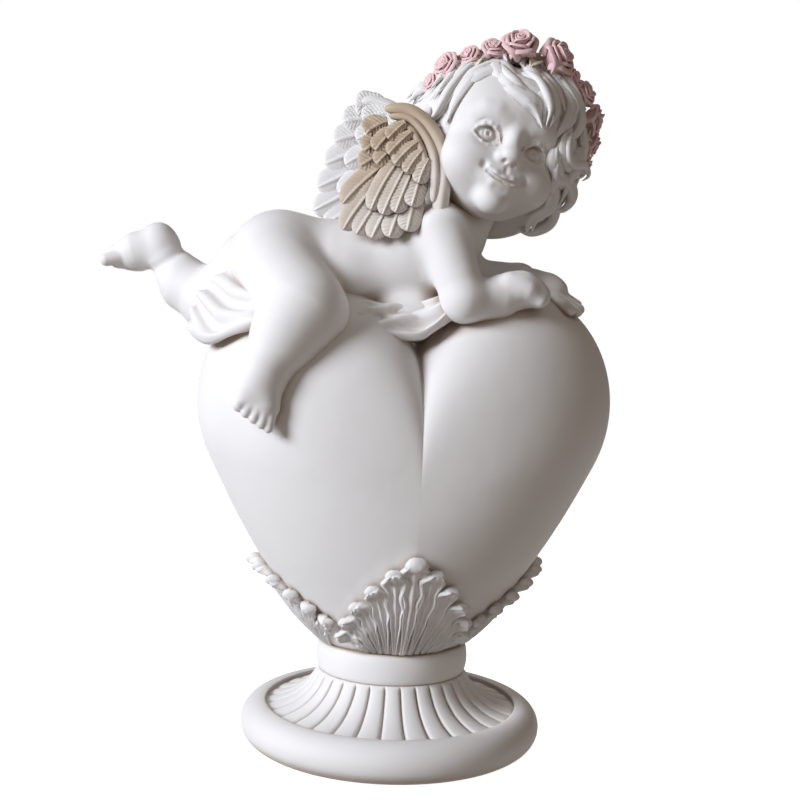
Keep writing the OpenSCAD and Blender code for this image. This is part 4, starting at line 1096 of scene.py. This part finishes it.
def makeRose(number, share, degrees):
    # petals are sheets bent round the bud: their radius opens with height, the rim rolls out and
    # down, and every petal overlaps the next; the bud is a sheet wound in a spiral
    r = wreath["rose"] * share / 2
    rng = np.random.default_rng(40 + number)
    grids = []
    v = np.linspace(0, 1, 12)[None, :, None]
    u = np.linspace(-1, 1, 13)[None, None, :]
    for count, wide, high, roll in wreath["petals"]:
        centre = (np.arange(count) + rng.uniform(0, 1)) / count * 2 * np.pi
        centre = (centre + rng.uniform(-0.1, 0.1, count))[:, None, None]
        span = 2 * np.pi / count * 0.86
        tall = high * (1 + rng.uniform(-0.05, 0.05, count))[:, None, None]
        top = tall * (1 - 0.62 * u ** 4)
        z = top * np.sin(v * np.pi / 2 * 1.02) - roll * 0.5 * ramp(v, 0.74, 1.0)
        reach = wide * (0.3 + 0.7 * np.sin(np.clip(v / 0.6, 0, 1) * np.pi / 2) ** 0.8
                        - 0.12 * np.sin(np.pi * v)) + roll * 0.36 * ramp(v, 0.62, 1.0) ** 1.2
        reach = reach * (1 + 0.05 * u - 0.06 * u ** 4)
        turn = centre + span * u * (0.62 + 0.38 * np.sin(np.pi * v * 0.62)) * (1 - 0.3 * v ** 6)
        points = np.stack([r * reach * np.cos(turn), r * reach * np.sin(turn),
                           r * (z + 0.06) + 0 * turn], -1)
        grids.append((points, gridFaces(v.shape[1], u.shape[2], count, closed=False)))
    wind = np.linspace(0, 1, 60)[:, None]
    lift = np.linspace(0, 1, 9)[None, :]
    turn = wind * 4.6 * np.pi + rng.uniform(0, 6)
    reach = (0.05 + 0.36 * wind) * (0.75 + 0.4 * np.sin(np.pi * lift * 0.8))
    z = 0.3 + (1.18 - 0.14 * wind) * lift
    grids.append((np.stack([r * reach * np.cos(turn), r * reach * np.sin(turn),
                            r * z + 0 * turn], -1),
                  gridFaces(len(wind), lift.shape[1], closed=False)))
    points, faces = joinGrids(*grids)
    out, along, sideways = ringFrame(np.array(degrees, float))
    tilt = unit(out + 0.35 * rng.uniform(-1, 1) * along + 0.3 * sideways)
    side = unit(np.cross(along, tilt))
    ahead = np.cross(tilt, side)
    points = points[:, :1] * side + points[:, 1:2] * ahead + points[:, 2:] * tilt
    points = points + out * (wreath["ring"] + wreath["vine"] * 0.42)
    piece = addPiece("rose%d" % number, fromWreath(points), faces, rosePaint, "rose_pink",
                     ["rose_%d" % number])
    addThickness(piece, wreath["petalSheet"] / perMetre * (0.5 + 0.5 * share))
    smooth = piece.modifiers.new("smooth", "SUBSURF")
    smooth.levels = smooth.render_levels = 1
    return piece


makeVine()
makeWreathLeaves()
for number, (share, degrees) in enumerate(zip(wreath["roses"], wreath["turns"]), 1):
    makeRose(number, share, degrees)
print("wreath made")


hair = {
    "middle": (2.5, 5.0, 0.0), "radius": 27.8, "crown": (0.08, 0.5, 0.86), "lockWidth": 3.9,
    # rows that fall from the crown: how many locks, polar angle of root and tip, lift
    "rows": [(17, 0.06, 0.66, 1.0), (26, 0.4, 1.16, 0.7), (32, 0.8, 1.64, 0.5),
             (34, 1.2, 2.1, 0.4)],
    # locks round the face, as points in the head's own frame
    "byHand": [
        # swept back over the left temple
        [(-9.1, -3.5, 24.7), (-13.4, -9.4, 17.1), (-17.3, -11.1, 10.3), (-19.6, -11.2, 2.2),
         (-20.0, -10.1, -4.6)],
        [(-12.6, -2.0, 23.6), (-17.7, -6.3, 14.8), (-21.1, -7.7, 6.1), (-22.5, -6.5, -1.2),
         (-23.7, -5.4, -4.1)],
        [(-15.7, 0.1, 20.8), (-20.4, -1.8, 13.7), (-23.4, -1.4, 6.7), (-24.9, 1.0, 1.6),
         (-25.9, 1.3, -1.2)],
        [(-18.6, -1.6, 16.4), (-22.4, -0.4, 10.4), (-24.8, 3.6, 7.6), (-28.0, 5.4, 4.1)],
        [(-22.9, 3.6, 16.1), (-25.2, 6.2, 11.2), (-28.0, 7.9, 7.9), (-30.0, 8.4, 4.0)],
        [(-22.3, -3.2, 6.8), (-24.5, -1.0, 1.5), (-24.3, -4.1, -3.6), (-21.8, -8.7, -5.5)],
        [(-23.5, 0, 3), (-25.5, 1, -4), (-24.0, 0, -10), (-23.5, -1, -15)],
        # short locks over the forehead
        [(-8.5, -4.1, 25.5), (-7.8, -12.3, 18.7), (-4.8, -17.2, 13.7), (-0.7, -18.9, 12.2),
         (2.3, -18.0, 14.6)],
        [(-10.5, -4.5, 24.5), (-10.5, -11.3, 18.0), (-9.0, -15.8, 14.0), (-5.4, -18.4, 11.4)],
        [(-6.8, -18.6, 10.2), (-3.7, -20.0, 9.7), (0.8, -20.8, 9.3), (3.8, -21.2, 7.0),
         (5.6, -21.0, 2.3)],
        [(-3.1, -13.8, 19.3), (0.9, -17.0, 16.5), (4.0, -19.4, 12.5), (6.4, -20.6, 8.2),
         (6.6, -20.8, 2.5)],
        [(0.7, -8.9, 23.7), (4.8, -14.8, 18.9), (7.9, -18.1, 14.0), (9.8, -19.7, 8.8),
         (9.0, -20.2, 3.7)],
        [(-1.0, -8.0, 25.0), (0.5, -13.5, 20.5), (2.0, -16.5, 17.0), (1.0, -18.5, 14.5)],
        # the upper layer, parted above the brow
        [(-6.9, -12.4, 19.1), (-11.4, -9.5, 18.7), (-16.4, -9.6, 13.6), (-19.8, -9.8, 6.4),
         (-21.4, -8.6, -0.3)],
        [(-6.2, -5.4, 24.9), (-12.1, -3.9, 23.2), (-17.0, -2.8, 19.1), (-22.0, -3.9, 8.7),
         (-23.6, -3.6, 1.0)],
        [(-8.5, -4.1, 25.5), (-15.0, -1.5, 23.5), (-19.9, 1.6, 19.4), (-23.3, 5.1, 13.2),
         (-24.3, 8.2, 6.3)],
        [(-6.4, -15.3, 16.2), (-10.6, -13.0, 16.2), (-14.9, -12.1, 12.8), (-18.1, -11.4, 8.1),
         (-20.1, -10.6, 2.2)],
        [(-20.3, 2.7, 15.2), (-24.0, 5.8, 11.6), (-26.6, 7.7, 8.1), (-28.2, 9.7, 3.6)],
        [(-9.3, -11.9, 18.2), (-3.9, -17.4, 14.6), (1.7, -18.8, 13.8), (7.2, -18.9, 12.7),
         (11.8, -19.5, 8.2)],
        [(-4.4, -5.1, 25.6), (2.6, -7.0, 25.2), (6.9, -12.1, 21.1), (11.6, -15.0, 16.5),
         (15.9, -16.8, 10.1)],
        [(-10.0, -15.1, 14.0), (-5.4, -19.1, 10.6), (-0.5, -20.9, 8.7), (2.8, -21.7, 6.5),
         (6.2, -22.1, 2.3)],
        [(-0.6, -7.6, 27.9), (6.3, -8.8, 26.2), (13.4, -9.8, 23.3), (19.5, -10.0, 19.0),
         (24.4, -9.1, 13.0)],
        [(-10.3, -10.2, 19.0), (-7.9, -16.4, 13.8), (-4.6, -18.9, 11.7), (-0.9, -20.0, 10.9)],
        # right side down to the temple
        [(-6, 3, 30.0), (-7.0, -3.5, 28.0), (-8.0, -8.5, 23.5), (-7.0, -12.5, 19.5)],
        [(-2, 3, 31.0), (-2.5, -3.5, 29.5), (-3.0, -9.0, 25.5), (-2.0, -13.5, 21.0)],
        [(2, 3, 31.5), (2.0, -3.5, 30.0), (1.5, -9.0, 26.0), (3.0, -13.5, 22.0)],
        [(6, 3, 31.0), (6.5, -3.5, 29.5), (7.0, -8.5, 26.0), (9.5, -12.0, 22.0)],
        [(-10, 3, 28.5), (-12.5, -2.0, 26.0), (-14.5, -6.5, 20.5), (-16.5, -9.0, 14.0)],
        [(-14, 3, 26.5), (-17.0, -1.0, 23.0), (-19.5, -4.5, 16.5), (-22.0, -5.5, 9.0)],
        [(-17, 4, 24.5), (-20.5, 1.0, 19.5), (-23.5, -0.5, 13.0), (-26.0, 0.0, 6.0)],
        [(10, 3, 29.5), (12.0, -3.0, 27.5), (15.5, -7.5, 23.5), (19.0, -10.0, 18.0)],
        [(14, 3, 27.5), (17.5, -2.5, 24.5), (21.0, -6.5, 19.5), (24.0, -8.5, 13.0)],
        [(2.4, -8.1, 27.3), (8.0, -9.7, 24.9), (13.4, -11.1, 20.6), (16.9, -13.2, 16.4),
         (15.5, -17.0, 12.0)],
        [(6.0, -9.0, 26.8), (12.6, -10.4, 24.0), (18.3, -11.4, 19.4), (21.6, -12.2, 13.8),
         (20.6, -13.1, 8.0), (17.3, -15.8, 6.0)],
        [(9.7, -8.9, 23.8), (14.3, -12.3, 19.3), (16.4, -14.9, 14.0), (14.8, -17.8, 7.8),
         (13.1, -18.8, 2.3)],
        [(23.0, -8.9, 15.8), (25.0, -8.5, 11.3), (27.4, -8.1, 6.5), (26.8, -8.3, 1.0)],
        [(16.5, -16.5, 7.3), (16.5, -17.4, 1.2), (20.0, -15.2, -1.8), (26.6, -9.3, 1.7),
         (30.4, -6.6, 0.4), (28.9, -6.0, -2.2)],
        [(17.0, -16.4, 1.0), (18.6, -15.1, -7.3), (25.3, -8.1, -5.2), (30.2, -3.9, -8.2),
         (28.6, -2.9, -12.4), (22.3, -7.9, -14.1)],
        [(20.3, -12.2, -9.0), (25.2, -4.3, -13.2), (26.4, -1.4, -18.0), (22.2, 0.4, -22.7),
         (16.8, -1.2, -24.3)],
        [(14.3, -17.4, 0.1), (15.0, -17.6, -4.4), (18.1, -15.4, -6.4), (18.7, -14.1, -11.0),
         (21.3, -10.9, -13.2)],
        [(18.5, -13.0, -10), (20.5, -10.0, -16), (17.5, -8.0, -21), (18.5, -5, -25)],
    ],
}


def lockGrids(paths, width, height, around=14, grooves=3):
    # locks lie on the skull: a tapered oval with strand grooves carried along each path, its up
    # direction pointing away from the middle of the head
    s = np.linspace(0, 1, paths.shape[1])
    shape = (np.sqrt(np.clip(1 - (2 * s - 1) ** 6, 0, 1)) * (0.75 + 0.4 * np.sin(np.pi * s))
             * (1 - 0.72 * ramp(s, 0.5, 1.0)))
    up = unit(paths - np.array(hair["middle"]))
    loop = sweepLoops(paths, up, width[:, None] * shape, height[:, None] * shape, around,
                      grooves * 2, 0.22)
    return loop, gridFaces(paths.shape[1], around, len(paths))


def makeHair():
    # a closed cap, then locks over it: each a curve that keeps its distance from the middle of
    # the head, in rows down from the crown and one by one round the face
    rng = np.random.default_rng(5)
    middle = np.array(hair["middle"])
    volume = newVolume((-30, -28, -32), (36, 38, 32), 0.8)
    field = newField(volume, [
        ("egg", hair["middle"], (hair["radius"],) * 3, 2),
        ("egg", (2, 10, -14), (22, 18, 15), 6),
        ("egg", (-1.5, -33, -10), (30, 26, 27), -5.0),
        ("egg", (0, -8, -36), (26, 22, 20), -3.0),
    ])
    grids = [fieldSkin(volume, field)[:2]]
    paths = np.stack([throughPoints(p, 28) for p in hair["byHand"]])
    paths += unit(paths - middle) * 0.9
    grids.append(lockGrids(paths, np.full(len(paths), 2.9), np.full(len(paths), 2.0), 18, 4))
    thin = paths + unit(paths - middle) * 0.5 + rng.uniform(-1.6, 1.6, (len(paths), 1, 3))
    grids.append(lockGrids(thin, np.full(len(paths), 1.6), np.full(len(paths), 1.6), 10, 2))
    # rows of locks that fall from the crown over the back and the sides
    crown = unit(np.array(hair["crown"]))
    first = unit(np.cross(crown, [0, -1.0, 0]))
    second = np.cross(crown, first)
    s = np.linspace(0, 1, 24)[None, :]
    for row, (count, start, end, out) in enumerate(hair["rows"]):
        turn = (np.arange(count) + 0.5 * (row % 2)
                + rng.uniform(-0.2, 0.2, count)) / count * 2 * np.pi
        swing = rng.uniform(-1, 1, count)[:, None]
        phase = rng.uniform(0, 6, count)[:, None]
        polar = start + (end - start) * s + rng.uniform(-0.06, 0.06, count)[:, None] * s
        a = (turn[:, None] + 0.4 * s
             + 0.1 * np.sin(s * 7 + phase) / np.maximum(np.sin(polar), 0.35)
             + 0.05 * swing * s ** 2)
        r = hair["radius"] + out + 1.6 * ramp(s, 0.75, 1.0)
        way = (np.cos(polar)[..., None] * crown
               + np.sin(polar)[..., None] * (np.cos(a)[..., None] * first
                                             + np.sin(a)[..., None] * second))
        paths = middle + r[..., None] * way
        half, tip = paths[:, 12], paths[:, -1]  # no lock may hang over the face or the neck
        paths = paths[((half[:, 1] > -10) | (half[:, 2] > 19)) & (tip[:, 2] > -27)
                      & ((tip[:, 1] > -9) | (tip[:, 2] > 14))
                      & ((tip[:, 2] > -14) | (tip[:, 1] > 0))]
        wide = hair["lockWidth"] * rng.uniform(0.85, 1.2, len(paths)) * (0.9 + 0.1 * row)
        grids.append(lockGrids(paths, wide, wide * 0.5, 12, 3))
    points, faces = joinGrids(*grids)
    return addPiece("hair", fromHead(points), faces, carvedResin, "resin_white", ["hair"])


makeHair()
print("hair made")


def dressNode(name, material):
    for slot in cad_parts[name].material_slots:
        slot.material = material


def grainMaterial(name, grainScale, detail, colours, inputs):
    # one fine noise carries both the colour and what the inputs make of it
    material, tree, shader, place = newMaterial(name)
    noise = addNoise(tree, place, grainScale, detail)
    colour = addMix(tree, noise, linearColour(colours[0]), colours[1])
    setInputs(tree, shader, {"Base Color": colour, **inputs(tree, noise)})
    return material


# pressed wool felt under the foot: short fibres, no gloss
feltMaterial = grainMaterial(
    "pressed felt", 1400.0, 4.0, ("#4C5F4B", "#66785F"),
    lambda tree, noise: {"Normal": addBump(tree, noise, 0.8, 0.0003), "Roughness": 0.95,
                         "Specular IOR Level": 0.2})
# drawn brass rod: fine grain, a warm dull shine; hidden inside the joints
brassMaterial = grainMaterial(
    "drawn brass rod", 900.0, 3.0, ("#B08D4F", "#C7A566"),
    lambda tree, noise: {"Roughness": addRange(tree, noise, 0.0, 1.0, 0.28, 0.42, "LINEAR"),
                         "Metallic": 1.0})
dressNode("base_felt", feltMaterial)
for nodeName in ("neck_dowel", "arm_dowels", "leg_dowels", "wing_dowels"):
    dressNode(nodeName, brassMaterial)
print("felt and brass made")


studio = {
    "cameraTurn": -7.5, "cameraAway": 0.350, "cameraHeight": 0.118, "cameraRoll": 0.034,
    "lens": 44.55, "floor": "#FFFFFF", "floorGlow": 0.9, "floorHalf": 3, "sky": 0.24,
    # lamps as place, target, size, power and colour
    "lamps": {"key": ((-0.98, -0.47, 0.50), (0, 0, 0.13), 0.5, 14.2, "#F3F7FF"),
              "behind": ((0.1, 1.2, 0.5), (0, 0, 0.12), 0.8, 3.0, "#F4EFEA"),
              "fill": ((0.2, -1.0, 0.35), (0, 0, 0.12), 0.9, 0.7, "#F4EFEA")},
}


def addLamp(name, place, target, size, power, colour):
    data = bpy.data.lights.new(name, "AREA")
    data.shape = "DISK"
    data.size = size
    data.energy = power
    data.color = linearColour(colour)[:3]
    lamp = bpy.data.objects.new(name, data)
    bpy.context.scene.collection.objects.link(lamp)
    away = Vector(place) - Vector(target)
    lamp.matrix_world = (Matrix.Translation(place)
                         @ away.to_track_quat("Z", "Y").to_matrix().to_4x4())


def addStudio():
    scene = bpy.context.scene
    half = studio["floorHalf"]
    corners = [(-half, -half, 0), (half, -half, 0), (half, half, 0), (-half, half, 0)]
    floorMesh = bpy.data.meshes.new("floor")
    floorMesh.from_pydata(corners, [], [(0, 1, 2, 3)])
    material, tree, paper, _ = newMaterial("pale paper floor")
    setInputs(tree, paper, {"Base Color": linearColour(studio["floor"]), "Roughness": 0.9,
                            "Emission Color": (1, 1, 1, 1),
                            "Emission Strength": studio["floorGlow"]})
    floorMesh.materials.append(material)
    floor = bpy.data.objects.new("floor", floorMesh)
    scene.collection.objects.link(floor)
    floor.visible_diffuse = False  # the glow whitens the paper without lighting the figure

    world = bpy.data.worlds.new("studio")
    world.use_nodes = True
    scene.world = world
    tree = world.node_tree
    sky = tree.nodes["Background"]
    setInputs(tree, sky, {"Color": linearColour("#C9B6A4"), "Strength": studio["sky"]})
    white = addNode(tree, "ShaderNodeBackground", {"Color": (1, 1, 1, 1), "Strength": 1.0})
    seen = addNode(tree, "ShaderNodeLightPath")
    mixed = addNode(tree, "ShaderNodeMixShader", {0: seen.outputs["Is Camera Ray"],
                                                  1: sky.outputs[0], 2: white.outputs[0]})
    tree.links.new(mixed.outputs[0], tree.nodes["World Output"].inputs["Surface"])

    for name, lamp in studio["lamps"].items():
        addLamp(name, *lamp)

    turn, away = math.radians(studio["cameraTurn"]), studio["cameraAway"]
    data = bpy.data.cameras.new("camera")
    data.lens, data.sensor_width = studio["lens"], 36.0
    data.clip_start = 0.01
    camera = bpy.data.objects.new("camera", data)
    scene.collection.objects.link(camera)
    camera.matrix_world = (Matrix.Translation((math.sin(turn) * away, -math.cos(turn) * away,
                                               studio["cameraHeight"]))
                           @ Matrix.Rotation(turn, 4, "Z") @ Matrix.Rotation(math.pi / 2, 4, "X")
                           @ Matrix.Rotation(studio["cameraRoll"], 4, "Z"))
    scene.camera = camera
    scene.view_settings.view_transform = "Standard"


addStudio()
print("studio made")
